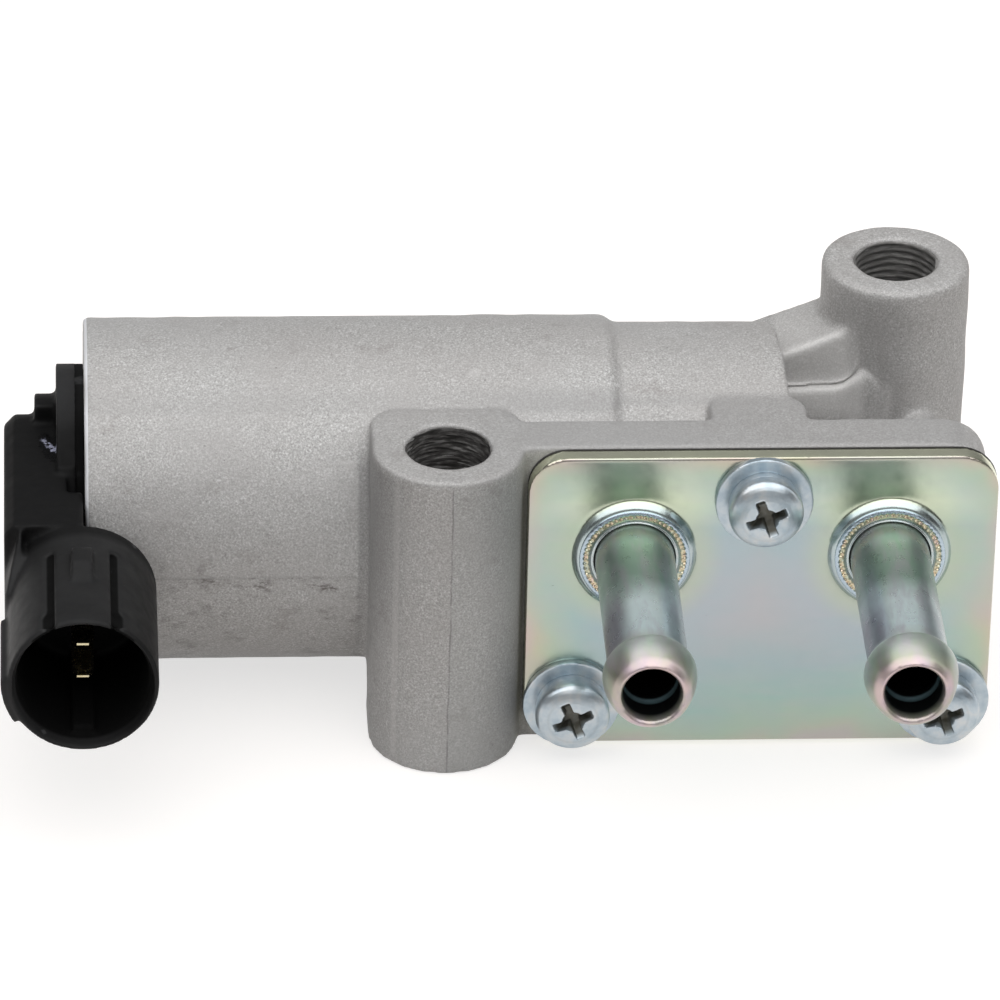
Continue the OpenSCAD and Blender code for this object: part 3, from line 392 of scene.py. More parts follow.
def cast_skin(g, speck, grain, pits):
    """Colour of the casting's skin all over, with its stains, pits and scuffs."""
    base = g.ramp(speck, [(0.28, (0.275, 0.267, 0.260)), (0.45, (0.432, 0.425, 0.416)),
                          (0.55, (0.530, 0.525, 0.518)), (0.72, (0.780, 0.778, 0.775))])
    stain = g.span(g.noise(4.5, 5.0, 0.7), 0.58, 0.70, smooth=True)
    rare = g.span(g.noise(3.0, 2.0), 0.50, 0.62, smooth=True)
    return g.layers(
        base,
        (g.span(grain, 0.34, 0.60, 0.34, 0.0), (0.295, 0.283, 0.275)),
        (g.span(g.noise(8.0, 4.0, 0.6), 0.30, 0.70, 0.0, 0.55), (0.415, 0.398, 0.390)),
        (g.span(g.noise(26.0, 1.0), 0.35, 0.65, 0.0, 0.30), (0.53, 0.538, 0.542)),
        (stain, (0.275, 0.250, 0.240), 0.34),
        (barrel_grime(g), (0.135, 0.118, 0.110)),
        (g.product(g.math("SUBTRACT", 1.0, pits), rare), (0.16, 0.15, 0.145), 0.60),
        (cast_scuffs(g), (0.88, 0.88, 0.88), 0.80),
        (g.span(g.pointiness(), 0.52, 0.60, smooth=True), (0.62, 0.61, 0.60), 0.30))


def cast_regions(g):
    """Tints of single places of the casting, painted shade and painted light among them, and the
    bright machined rim at its open end.
    """
    x, y, z = g.xyz
    seam, seam_side = boss_seam(g)
    # Painted shade on the front of the front boss's top, growing towards its right
    front_top_shade = g.product(g.span(z, FRONT_TOP - 0.7, FRONT_TOP - 0.3), g.span(y, 10.5, 9.0),
                          g.span(x, -1.0, 9.0, 0.22, 0.50))
    # Machined end face, lighter as bare metal and as a painted highlight; its outer rim is painted
    # near white as a stronger highlight
    end_face = g.span(x, BARREL_LEFT + 0.40, BARREL_LEFT + 0.30, smooth=True)
    outer = g.span(g.reach(y, z, AXIS[1:]), BARREL_R - 0.55, BARREL_R - 0.40)
    return (
        (seam_side, (0.36, 0.39, 0.385), 0.16),
        (seam, (0.15, 0.14, 0.14), 0.60),
        (front_top_shade, (0.335, 0.330, 0.328)),
        (painted_boss_shade(g), (0.05, 0.05, 0.05)),
        (painted_web_light(g), (0.80, 0.79, 0.775)),
        # Painted shadow in the crease beside the web
        (crease_shadow(g), (0.060, 0.055, 0.052)),
        (end_face, (0.56, 0.56, 0.555), 0.8),
        (g.product(end_face, outer), (0.86, 0.87, 0.90), 0.9))


def barrel_grime(g):
    """Brown patches low on the front of the barrel, and dark smears along its parting line."""
    x, y, z = g.xyz
    on_barrel = g.product(g.span(x, -6.5, -7.5), g.span(y, 14.0, 10.0))
    low = g.span(z, AXIS[2] + 7.0, AXIS[2] - 1.0)
    patch = g.span(g.noise(1.9, 5.0, 0.68, g.stretch(0.8, 1.0, 1.0)), 0.53, 0.68, smooth=True)
    near_line = g.span(g.off(z, AXIS[2] - 1.3), 1.25, 0.45, smooth=True)
    smear = g.span(g.noise(0.60, 4.0, 0.7, g.stretch(0.40, 1.0, 1.0)), 0.49, 0.64, smooth=True)
    where = g.span(g.noise(5.0, place=g.stretch(1.0, 0.0, 0.0)), 0.46, 0.56)
    grime = g.math("MAXIMUM", g.product(patch, low, 0.34),
                   g.product(smear, near_line, where, 0.85))
    return g.product(grime, on_barrel)


def cast_scuffs(g):
    """Short bright strokes where the casting was knocked."""
    strokes = []
    for size, place, spread in ((2.6, g.stretch(1.0, 0.22, 0.30), 0.045),
                                (3.4, g.stretch(0.24, 1.0, 1.0), 0.040)):
        line = g.span(g.cells(size, place), spread, 0.0, smooth=True)
        where = g.span(g.noise(5.0 + size, 3.0, 0.6), 0.55, 0.62, smooth=True)
        strokes.append(g.product(line, where))
    return g.math("MAXIMUM", *strokes)


def painted_boss_shade(g):
    """Painted shade on the sides of the front boss, most of all high on its left."""
    x, y, z = g.xyz
    left = g.product(g.span(x, -8.4, -3.6, 0.34, 0.0, True), g.span(z, 10.0, 22.0, 0.45, 1.0))
    right = g.span(x, 2.5, 7.5, 0.0, 0.20)
    return g.product(g.math("ADD", left, right), g.span(x, -9.0, -8.6), g.span(x, 8.9, 8.4),
                     g.span(y, 5.0, 3.5), g.span(z, FRONT_TOP - 0.3, FRONT_TOP - 1.2))


def painted_web_light(g):
    """Painted light on the web beside the rear boss, most of all on its front."""
    x, y, z = g.xyz
    return g.product(g.span(x, VALVE_END + 0.3, VALVE_END + 0.8), g.span(x, 44.0, 43.0),
                     g.span(g.reach(x, y, REAR_HOLE[:2]), 7.4, 8.4),
                     g.span(y, 22.9, 24.0, 0.50, 0.24), g.span(y, 16.0, 17.0),
                     g.span(z, 24.0, 26.0))


def crease_shadow(g):
    """Painted shadow in the crease between the valve section's end and the web."""
    x, y, z = g.xyz
    return g.product(g.span(g.off(x, VALVE_END + 0.12), 0.30, 0.08), g.span(z, 27.2, 28.2),
                     g.span(y, 24.8, 23.8), g.span(y, 17.0, 18.0), 0.8)


def boss_seam(g):
    """Mould seam down the front of the front boss: its dark line, and the side to its right."""
    x, y, z = g.xyz
    wander = g.span(g.noise(5.0, 3.0, place=g.stretch(0.0, 0.0, 1.0)), 0.0, 1.0, -0.20, 0.30)
    lean = g.product(z, 0.004)
    away = g.math("SUBTRACT", g.math("SUBTRACT", x, wander), lean)
    below_top = g.span(z, FRONT_TOP - 0.4, FRONT_TOP - 0.9)
    broken = g.span(g.noise(1.6, 3.0, place=g.stretch(0.3, 0.3, 1.0)), 0.35, 0.60, 0.25, 1.0)
    line = g.product(g.span(g.math("ABSOLUTE", away), 0.12, 0.03), broken,
                     g.span(y, -6.6, -7.2), below_top)
    side = g.product(g.span(away, 0.0, 0.1), g.span(y, 4.0, -7.6), g.span(x, 9.0, 8.2), below_top)
    return line, side


def cast_wall():
    """As-cast wall of a bolt hole: darker than the tumbled outside, with fine ridges round it."""
    g = material_graph("cast_hole_wall")
    ridge = g.noise(0.30, 3.0, 0.6, g.stretch(0.16, 0.16, 1.0))
    tone = g.noise(0.8, 4.0, 0.65)
    base = g.ramp(ridge, [(0.38, (0.035, 0.033, 0.031)), (0.50, (0.100, 0.096, 0.092)),
                          (0.62, (0.300, 0.292, 0.285))])
    base = g.layers(base, (g.span(tone, 0.3, 0.7, 0.0, 0.5), (0.09, 0.086, 0.082)),
                    (g.span(g.xyz[1], 12.0, 14.0, 0.0, 0.40), (0.30, 0.295, 0.285)))
    normal = g.bump(ridge, 0.06, 0.9)
    normal = g.bump(tone, 0.05, 0.7, normal)
    return g.finish(base, 0.62, 0.35, normal)


def plated_yellow():
    """Yellow zinc on pressed steel: colour follows the film's thickness from the edge inwards, with
    painted light above the nipples and on the edges.
    """
    g = material_graph("yellow_zinc_steel")
    x, y, z = g.xyz
    half = (PLATE_HIGH - PLATE_LOW) / 2
    centre = PLATE_LOW + half
    inward = g.math("MINIMUM", g.math("SUBTRACT", half[0], g.off(x, centre[0])),
                    g.math("SUBTRACT", half[2], g.off(z, centre[2])))
    wander = g.span(g.noise(8.0), 0.0, 1.0, -3.4, 3.4)
    film = g.span(g.math("ADD", inward, wander), -0.6, 15.0)
    colour = g.ramp(film, [(0.0, (0.60, 0.49, 0.44)), (0.07, (0.56, 0.53, 0.40)),
                           (0.16, (0.47, 0.56, 0.41)), (0.34, (0.39, 0.53, 0.47)),
                           (0.60, (0.40, 0.49, 0.51)), (1.0, (0.475, 0.485, 0.505))])
    low = g.span(z, PLATE_LOW[2] + 15.0, PLATE_LOW[2] + 2.0, smooth=True)
    # Painted light on the plate above each nipple
    above = g.product(ring_tint(g, 7.0, 13.0, 0.55),
                      g.span(z, NIPPLES[0][2] + 3.0, NIPPLES[0][2] + 6.0))
    streak = g.noise(2.4, 3.0, 0.6, g.stretch(0.45, 1.0, 1.6))
    nick = g.product(g.span(g.cells(2.9, g.stretch(1.0, 1.0, 2.2)), 0.050, 0.0, smooth=True),
                     g.span(g.noise(7.0), 0.48, 0.56))
    colour = g.layers(
        colour,
        (ring_tint(g, 9.5, 15.0, 0.42), (0.385, 0.500, 0.560)),
        (ring_tint(g, 6.3, 9.6, 0.45), (0.54, 0.59, 0.36)),
        (low, (0.37, 0.50, 0.51), 0.35),
        (above, (0.80, 0.87, 0.60)),
        (ring_tint(g, 6.0, 6.3, 0.60), (0.50, 0.60, 0.68)),
        # Painted light on the plate's edges, in a pale yellow-green
        (g.span(y, PLATE_FACE + 0.12, PLATE_FACE + 0.30), (0.97, 1.00, 0.76)),
        (g.span(streak, 0.35, 0.65, 0.0, 0.16), (0.54, 0.49, 0.53)),
        (nick, (0.13, 0.12, 0.12), 0.75))
    rough = g.span(g.noise(1.3, 3.0), 0.3, 0.7, 0.19, 0.27)
    normal = g.bump(g.noise(0.5), 0.006, 0.6)
    normal = g.bump(g.noise(6.0, 1.0), 0.04, 0.5, normal)
    return g.finish(colour, rough, 1.0, normal)


def ring_tint(g, near, far, share=1.0, smooth=True, centres=NIPPLES):
    """A share that falls to nothing between two distances from the nearest of some axes."""
    x, _, z = g.xyz
    tint = 0.0
    for centre in centres:
        reach = g.reach(x, z, centre[::2])
        tint = g.math("MAXIMUM", g.span(reach, near, far, share, 0.0, smooth), tint)
    return tint


def ring_plating():
    """Plating round a nipple: gold and pink on the staked teeth, blue-white beside them."""
    g = material_graph("yellow_zinc_ring")
    tone = g.noise(0.8, 3.0, 0.65)
    colour = g.ramp(tone, [(0.30, (0.50, 0.58, 0.55)), (0.46, (0.62, 0.62, 0.46)),
                           (0.58, (0.72, 0.60, 0.42)), (0.72, (0.74, 0.58, 0.58))])
    outside = g.math("SUBTRACT", 1.0, ring_tint(g, 5.05, 5.2))
    colour = g.layers(colour, (ring_tint(g, 4.5, 4.7, 0.75), (0.55, 0.64, 0.70)),
                      (outside, (0.50, 0.60, 0.68)))
    rough = g.span(g.noise(0.6), 0.3, 0.7, 0.20, 0.32)
    return g.finish(colour, rough, 1.0, g.bump(g.noise(0.25), 0.010, 0.7))


def plated_tube():
    """The same plating on a turned nipple: bands along its length, painted shade and a painted
    highlight on its sides past the bead, and painted shade and a painted reflection in its bore.
    """
    g = material_graph("yellow_zinc_tube")
    y = g.xyz[1]
    wander = g.span(g.noise(4.0), 0.0, 1.0, -1.6, 1.6)
    film = g.span(g.math("ADD", y, wander), NIPPLE_TIP, PLATE_LOW[1] + 1.0)
    colour = g.ramp(film, [(0.0, (0.66, 0.53, 0.52)), (0.030, (0.43, 0.45, 0.35)),
                           (0.10, (0.42, 0.50, 0.43)), (0.17, (0.66, 0.76, 0.71)),
                           (0.24, (0.82, 0.98, 1.00)), (0.42, (0.84, 0.98, 1.00)),
                           (0.62, (0.29, 0.41, 0.35)), (0.85, (0.29, 0.41, 0.34)),
                           (1.0, (0.46, 0.54, 0.44))])
    streak = g.noise(1.6, 3.0, 0.6, g.stretch(1.0, 0.25, 1.0))
    past_bead = g.product(g.span(y, NIPPLE_TIP + 4.6, NIPPLE_TIP + 5.8),
                          g.span(y, NIPPLE_TIP + 10.5, NIPPLE_TIP + 14.5, 1.0, 0.40))
    # Painted shade deep in each nipple's bore
    bore = ring_tint(g, 3.12, 3.3, smooth=False)
    # Painted reflection: a pale teal ring inside the bore
    band = g.product(bore, g.span(g.off(y, NIPPLE_TIP + 3.5), 0.45, 0.20))
    colour = g.layers(
        colour,
        (g.span(streak, 0.42, 0.66, 0.0, 0.45), (0.50, 0.42, 0.52)),
        # Painted shade down the left and the right side of each tube past the bead, and a painted
        # highlight along its right edge
        (tube_side(g, -3.2, -1.2, 0.80), (0.19, 0.17, 0.22), past_bead),
        (tube_side(g, 2.5, 1.1, 0.72), (0.17, 0.22, 0.24), past_bead),
        (tube_side(g, 3.7, 3.0, 0.45), (0.75, 0.85, 0.85), past_bead),
        (bore, (0.020, 0.022, 0.024), g.span(y, NIPPLE_TIP + 0.5, NIPPLE_TIP + 1.3)),
        (band, (0.22, 0.34, 0.38)))
    rough = g.span(g.noise(1.1, 3.0), 0.3, 0.7, 0.26, 0.34)
    rough = g.math("ADD", rough, g.product(band, 0.25))
    rough = g.math("ADD", rough, g.span(y, NIPPLE_TIP + 5.0, NIPPLE_TIP + 6.5, 0.05, 0.0))
    normal = g.bump(g.noise(0.35, place=g.stretch(1.0, 0.4, 1.0)), 0.006, 0.6)
    return g.finish(colour, rough, 0.80, normal)


def tube_side(g, near, far, share):
    """A share that falls to nothing from one distance beside a nipple's axis to another."""
    x = g.xyz[0]
    between = (NIPPLES[0][0] + NIPPLES[1][0]) / 2
    sides = []
    for centre, test in zip(NIPPLES, ("LESS_THAN", "GREATER_THAN")):
        beside = g.span(g.math("SUBTRACT", x, centre[0]), near, far, share, 0.0, True)
        sides.append(g.product(beside, g.math(test, x, between)))
    return g.math("ADD", *sides)


def clear_zinc():
    """Blue-white zinc of the screws and washers, with painted shade in the cross recesses."""
    g = material_graph("clear_zinc_steel")
    colour = g.ramp(g.noise(1.8, 3.0, 0.6), [(0.32, (0.43, 0.52, 0.59)),
                                             (0.52, (0.57, 0.64, 0.69)),
                                             (0.70, (0.68, 0.70, 0.71))])
    # Painted shade in the cross recesses of the screw heads
    recess_shade = g.product(ring_tint(g, 2.5, 2.7, smooth=False, centres=SCREWS),
                     g.span(g.xyz[1], SCREW_FACE + 0.22, SCREW_FACE + 0.75),
                     g.span(g.noise(0.7), 0.2, 0.8, 0.75, 1.0))
    colour = g.layers(colour, (recess_shade, (0.150, 0.138, 0.105)))
    rough = g.span(g.noise(0.6, 3.0), 0.3, 0.7, 0.28, 0.36)
    rough = g.math("ADD", rough, g.product(recess_shade, 0.25))
    return g.finish(colour, rough, 0.85, g.bump(g.noise(0.6), 0.006, 0.5))


def moulded_black():
    """Glass-filled black plastic with a fine spark-eroded grain and a few pale scuffs, and with
    painted light and shade on the cap in places.
    """
    g = material_graph("black_plastic")
    x, y, z = g.xyz
    colour = g.ramp(g.noise(6.0, 3.0), [(0.35, (0.0130, 0.0130, 0.0133)),
                                        (0.65, (0.0175, 0.0175, 0.0180))])
    # Painted shade on the cap behind the socket's front: its neck and disc
    behind = g.span(y, -5.4, -4.2)
    on_socket = g.span(y, -5.0, -6.5)
    off_middle = g.math("SUBTRACT", x, SOCKET[0])
    pointed = g.pointiness()
    shaded = g.math("MAXIMUM", g.product(g.span(pointed, 0.48, 0.40), 0.9), socket_shade(g))
    gouge, streak = gouge_marks(g)
    colour = g.layers(
        colour,
        (behind, (0.0022, 0.0022, 0.0024), 0.85),
        # Painted light on the socket's left side, and painted shade on its right
        (g.span(off_middle, -8.0, -3.0, 0.30, 0.0), (0.045, 0.045, 0.046), on_socket),
        (g.span(off_middle, 2.5, 7.5, 0.0, 0.75), (0.003, 0.003, 0.003), on_socket),
        # Painted light on the top of the cap's disc
        (g.span(z, AXIS[2] + 10.6, AXIS[2] + 12.9, 0.0, 0.50), (0.055, 0.055, 0.057)),
        # Painted highlight on the cap's sharp edges
        (g.span(pointed, 0.53, 0.62, smooth=True), (0.075, 0.075, 0.078), 0.55),
        (shaded, (0.001, 0.001, 0.001)),
        (g.span(g.cells(2.6), 0.045, 0.0, smooth=True), (0.12, 0.12, 0.125), 0.25),
        (gouge, (0.0015, 0.0015, 0.002)),
        # Streaks of the gouge: scratch whitening with a painted highlight
        (streak, (0.36, 0.37, 0.48)))
    rough = g.span(g.noise(1.4, 3.0), 0.3, 0.7, 0.44, 0.54)
    rough = g.math("ADD", rough, g.product(behind, 0.10))
    rough = g.math("ADD", rough, g.product(shaded, 0.40), clamp=True)
    normal = g.bump(g.noise(0.16, 2.0, 0.6), 0.010, 0.6)
    normal = g.bump(g.product(gouge, g.noise(0.35, 3.0, 0.7)), 0.35, 1.0, normal)
    return g.finish(colour, rough, 0.0, normal, Specular_IOR_Level=0.15)


def gouge_marks(g):
    """Torn patch on top of the cap's neck, and the pale streaks that slant through it, whitened by
    the scratch and painted bluish-white as a highlight.
    """
    x, y, z = g.xyz
    dx = g.math("SUBTRACT", x, GOUGE[0])
    dy = g.product(g.math("SUBTRACT", y, GOUGE[1]), 0.50)
    across = g.product(g.math("ADD", dx, dy), 0.70)
    along = g.product(g.math("SUBTRACT", dx, dy), 0.70)
    ragged = g.span(g.noise(0.8, 3.0, 0.65), 0.0, 1.0, -0.8, 0.8)
    reach = g.reach(across, g.product(along, math.sqrt(0.45)))
    on_top = g.product(g.span(z, GOUGE[2] - 4.0, GOUGE[2] - 3.0),
                       g.span(z, GOUGE[2] + 1.6, GOUGE[2] + 1.2))
    patch = g.product(g.span(g.math("ADD", reach, ragged), 1.05, 0.90), on_top)
    off_line = g.math("ABSOLUTE", g.math("ADD", across, g.product(ragged, 0.55)))
    torn = g.span(g.noise(0.45, 3.0, 0.6), 0.44, 0.52)
    streak = g.product(g.span(off_line, 0.32, 0.18), torn,
                       g.span(g.math("ABSOLUTE", along), 1.5, 1.1), on_top)
    return patch, streak


def socket_shade(g):
    """One where the socket lies in its own shade: inside it, and in the guide grooves on top."""
    x, y, z = g.xyz
    beside = g.off(x, SOCKET[0])
    reach = g.reach(x, z, SOCKET[::2])
    groove = g.product(g.span(reach, 7.30, 7.18), g.span(beside, 2.60, 2.72),
                       g.span(beside, 5.1, 4.9), g.span(z, SOCKET[2] + 3.5, SOCKET[2] + 4.0))
    shade = g.math("MAXIMUM", g.span(reach, 6.72, 6.60), groove)
    return g.product(shade, g.span(y, -5.5, -6.0))


def plain_metal(name, dark, light, rough, lines=None):
    """Machined or drawn metal with a fine variation, and turning lines along an axis."""
    g = material_graph(name)
    size = 1.2
    place = g.stretch(*lines) if lines else None
    tone = g.noise(size, 4.0, 0.6, place)
    colour = g.ramp(tone, [(0.32, dark), (0.68, light)])
    roughness = g.span(g.noise(size * 0.5, 3.0, place=place), 0.3, 0.7, rough - 0.06, rough + 0.08)
    normal = g.bump(g.noise(size * 0.3, place=place), 0.01, 0.7)
    return g.finish(colour, roughness, 1.0, normal)


def soft_matte(name, dark, light, rough, size=0.8, depth=0.02):
    """Rubber, gasket or bobbin plastic."""
    g = material_graph(name)
    colour = g.ramp(g.noise(size, 4.0, 0.6), [(0.3, dark), (0.7, light)])
    roughness = g.span(g.noise(size * 2), 0.3, 0.7, rough - 0.05, rough + 0.05)
    return g.finish(colour, roughness, 0.0, g.bump(g.noise(size * 0.4, 3.0), depth, 0.8))


def enamelled_copper():
    """Winding of fine enamelled wire: rows of turns along the coil."""
    g = material_graph("copper_winding")
    wire = 0.32
    row = g.math("SINE", g.product(g.xyz[0], 2 * math.pi / wire))
    tone = g.noise(2.5, 3.0, place=g.stretch(2.0, 1.0, 1.0))
    colour = g.ramp(tone, [(0.3, (0.33, 0.10, 0.035)), (0.7, (0.52, 0.20, 0.075))])
    return g.finish(colour, 0.32, 0.85, g.bump(row, 0.10, 0.9), Coat_Weight=0.4,
                    Coat_Roughness=0.15)


MATERIALS = {
    "cast_aluminium": cast_aluminium(),
    "yellow_zinc_steel": plated_yellow(),
    "clear_zinc_steel": clear_zinc(),
    "black_plastic": moulded_black(),
    "gasket": soft_matte("gasket", (0.030, 0.029, 0.028), (0.055, 0.052, 0.050), 0.85, 0.5, 0.04),
    "bobbin_plastic": soft_matte("bobbin_plastic", (0.05, 0.05, 0.045), (0.075, 0.075, 0.065), 0.5),
    "rubber": soft_matte("rubber", (0.012, 0.012, 0.012), (0.022, 0.022, 0.022), 0.6, 0.6),
    "tinned_brass": plain_metal("tinned_brass", (0.62, 0.52, 0.30), (0.80, 0.74, 0.52), 0.24),
    "copper_winding": enamelled_copper(),
    "bronze": plain_metal("bronze", (0.42, 0.24, 0.09), (0.58, 0.36, 0.15), 0.35),
    "brass": plain_metal("brass", (0.60, 0.44, 0.16), (0.74, 0.57, 0.25), 0.28, lines=(4, 1, 1)),
    "turned_aluminium": plain_metal("turned_aluminium", (0.50, 0.50, 0.49), (0.64, 0.64, 0.63),
                                    0.34, lines=(5, 1, 1)),
    "stainless_steel": plain_metal("stainless_steel", (0.50, 0.50, 0.50), (0.66, 0.66, 0.67), 0.25,
                                   lines=(6, 1, 1)),
    "soft_iron": plain_metal("soft_iron", (0.36, 0.36, 0.35), (0.50, 0.50, 0.49), 0.38,
                             lines=(5, 1, 1)),
}
TUBE_PLATING = plated_tube()
RING_PLATING = ring_plating()
HOLE_WALL = cast_wall()


def dress_cad_nodes():
    """Gives each CAD node the finish of its slot in the record."""
    for part in frame["record"]["subparts"]:
        slot = part.get("material_slot") or part.get("material")
        node = frame["nodes"].get(part.get("node") or part.get("name"))
        if node is None:
            continue
        node.data.materials.clear()
        node.data.materials.append(MATERIALS[slot])


def barrel_parting_line():
    """Fine ridge where the two halves of the mould met, along the front of the barrel."""
    width, height, sink, drop = 0.20, 0.13, 0.3, 0.45
    start, end, steps = BARREL_LEFT + 6.0, -6.8, 240
    points, faces = [], []
    for i in range(steps + 1):
        x = start + (end - start) * i / steps
        place = np.array([[x, 0.0, 0.0]])
        wave = ripple(place, 1.6, 3)[0]
        slow = ripple(place, 7.0, 5)[0]
        fade = min(1.0, i / 8, (steps - i) / 8)
        crest = BARREL_R + height * max(0.15, 0.5 + 0.35 * wave + 0.3 * slow) * fade
        z = AXIS[2] - drop + 0.05 * wave
        y = AXIS[1] - math.sqrt(crest ** 2 - drop ** 2)
        back = AXIS[1] - BARREL_R + sink
        points += [(x, back, z - width), (x, y, z), (x, back, z + width)]
    for i in range(steps):
        a, b = 3 * i, 3 * i + 3
        faces += [(a, b, b + 1, a + 1), (a + 1, b + 1, b + 2, a + 2), (a + 2, b + 2, b, a)]
    faces += [(0, 1, 2), (3 * steps + 2, 3 * steps + 1, 3 * steps)]
    return mesh_from("parting_line", points, faces)


def dents():
    """Places, sizes and depths of the knocks on the casting."""
    rng = np.random.default_rng(SEED + 40)
    near_line = [(x, AXIS[1] - BARREL_R, AXIS[2] - 0.6 + dz, r, d) for x, dz, r, d in (
        (-22.6, -1.4, 0.8, 0.16), (-23.6, 1.3, 0.6, 0.12), (-20.8, -0.9, 0.5, 0.10),
        (-17.0, -1.2, 0.7, 0.12), (-14.4, -1.5, 0.8, 0.14), (-13.3, -1.2, 0.5, 0.10),
        (-24.0, 4.6, 0.6, 0.10), (-20.0, 7.6, 0.7, 0.10), (-8.8, 6.0, 0.5, 0.09))]
    scattered = []
    for _ in range(46):
        angle = rng.uniform(0.35, 2.3)
        x = rng.uniform(BARREL_LEFT + 2, BARREL_RIGHT - 3)
        y = AXIS[1] - BARREL_R * math.sin(angle)
        z = AXIS[2] + BARREL_R * math.cos(angle)
        scattered.append((x, y, z, rng.uniform(0.35, 0.75), rng.uniform(0.03, 0.09)))
    on_boss = [(3.6, -6.9, 16.0, 0.45, 0.20), (4.6, -6.4, 19.5, 0.4, 0.12)]
    return near_line + scattered + on_boss


def lean_web(points):
    """Brings the web's front faces forward towards their feet."""
    for face_y, top, lean in ((22.9, 33.6, 0.12), (21.4, 28.4, 0.20)):
        on_face = np.clip(1 - (np.abs(points[:, 1] - face_y) - 0.35) / 0.25, 0, 1)
        on_face *= np.clip((points[:, 0] - VALVE_END - 0.3) / 0.4, 0, 1)
        on_face *= np.clip((46.5 - points[:, 0]) / 0.5, 0, 1)
        drop = np.clip(top - points[:, 2], 0, 5.0) * (points[:, 2] < top + 0.5)
        points[:, 1] -= lean * drop * on_face


def raise_ledge(points):
    """Lifts the web's ledge a little beside the rear boss."""
    lift = 1.3 * np.exp(-((points[:, 0] - 43.4) / 1.5) ** 2)
    for axis, low, rise, high, fall in ((2, 26.0, 2.0, 33.0, 4.5), (1, 19.5, 1.2, 25.5, 2.5)):
        lift *= np.clip((points[:, axis] - low) / rise, 0, 1)
        lift *= np.clip((high - points[:, axis]) / fall, 0, 1)
    points[:, 2] += lift


def press_dents(points):
    """Sinks the knocks into the casting, towards the axis of the barrel or of the front boss."""
    for x, y, z, r, depth in dents():
        away = np.sqrt(((points - (x, y, z)) ** 2).sum(axis=1))
        near = away < r
        if near.any():
            sink = depth * (1 - (away[near] / r) ** 2) ** 2
            centre = AXIS[1:] if x < 0 or y > 0 else np.array([0.0, z])
            inward = centre - points[near][:, 1:]
            inward /= np.linalg.norm(inward, axis=1)[:, None]
            points[near, 1:] += sink[:, None] * inward


def cast_shape(points):
    """Slow unevenness of a casting, less on its machined faces, with its knocks."""
    near_foot = np.clip((points[:, 2] - 0.3) / 1.5, 0, 1)
    behind_plate = np.clip((points[:, 1] + 0.1) / 1.5, 0, 1)
    from_axis = np.hypot(points[:, 1] - AXIS[1], points[:, 2] - AXIS[2])
    outside = np.where(points[:, 0] < BARREL_RIGHT, np.clip((from_axis - 16.2) / 0.6, 0, 1), 1)
    amount = 0.04 * near_foot * behind_plate * outside
    points[:, 0] += amount * ripple(points, 5.0, 1)
    points[:, 1] += amount * ripple(points, 6.0, 2)
    points[:, 2] += 0.5 * amount * ripple(points, 4.0, 4)
    lean_web(points)
    raise_ledge(points)
    press_dents(points)
    low, high = node_box("housing")
    return np.clip(points, low, high)


def cast_weight(points):
    """How strongly the casting's points relax: less round the bolt holes and machined faces."""
    weight = np.full(len(points), 0.5)
    for hole, top in ((FRONT_HOLE, FRONT_TOP), (REAR_HOLE, REAR_TOP)):
        reach = np.hypot(points[:, 0] - hole[0], points[:, 1] - hole[1])
        weight[(reach < HOLE_R + 0.7) & (points[:, 2] > top - 1.5)] = 0.18
    weight[points[:, 2] < 0.6] = 0.4
    weight[points[:, 0] < BARREL_LEFT + 0.9] = 0.3
    return weight


def make_casting():
    mesh = soften("housing", 0.30, 7, 188000, cast_shape, weight=cast_weight)
    mesh = join_meshes("housing_casting", [mesh, barrel_parting_line()])
    finish_piece("housing_casting", mesh, "cast_aluminium", replaced=("housing",))


def hole_wall(name, hole, height, thread, pitch, thread_len, fine, seed):
    """Rough as-cast wall of a bolt hole: fine uneven rings, and coarser ones near the top."""
    steps, rows, thickness = 112, 150, 0.25
    rise = np.linspace(0, 1, rows) ** 0.6
    heights = 0.35 + (height - 0.30 - 0.35) * rise
    angles = np.linspace(0, 2 * math.pi, steps, endpoint=False)
    z, a = np.meshgrid(heights, angles, indexing="ij")
    ring = np.stack([5.0 * np.cos(a), 5.0 * np.sin(a), 7.0 * z], axis=-1).reshape(-1, 3)
    slow = ripple(ring / np.array([1, 1, 7.0]), 4.0, seed).reshape(z.shape)
    rough = ripple(ring, 2.6, seed + 1).reshape(z.shape)
    crest = (0.5 + 0.5 * np.sin(2 * math.pi * z / pitch + 0.5 * slow)) ** 3
    near_top = np.clip((z - (height - thread_len)) / 0.8, 0, 1)
    inward = 0.05 + thread * crest * near_top + fine * (0.5 + 0.5 * rough)
    radius = HOLE_R - np.clip(inward, 0.02, 0.6)
    inner = np.stack([hole[0] + radius * np.cos(a), hole[1] + radius * np.sin(a), z], axis=-1)
    outer_r = HOLE_R + thickness
    outer = [[(hole[0] + outer_r * math.cos(t), hole[1] + outer_r * math.sin(t), h)
              for t in angles] for h in (heights[-1], heights[0])]
    points = np.concatenate([inner.reshape(-1, 3), np.array(outer).reshape(-1, 3)])
    mesh = mesh_from(name, points, tube_faces(rows + 2, steps))
    finish_piece(name, mesh, "cast_aluminium", material=HOLE_WALL)


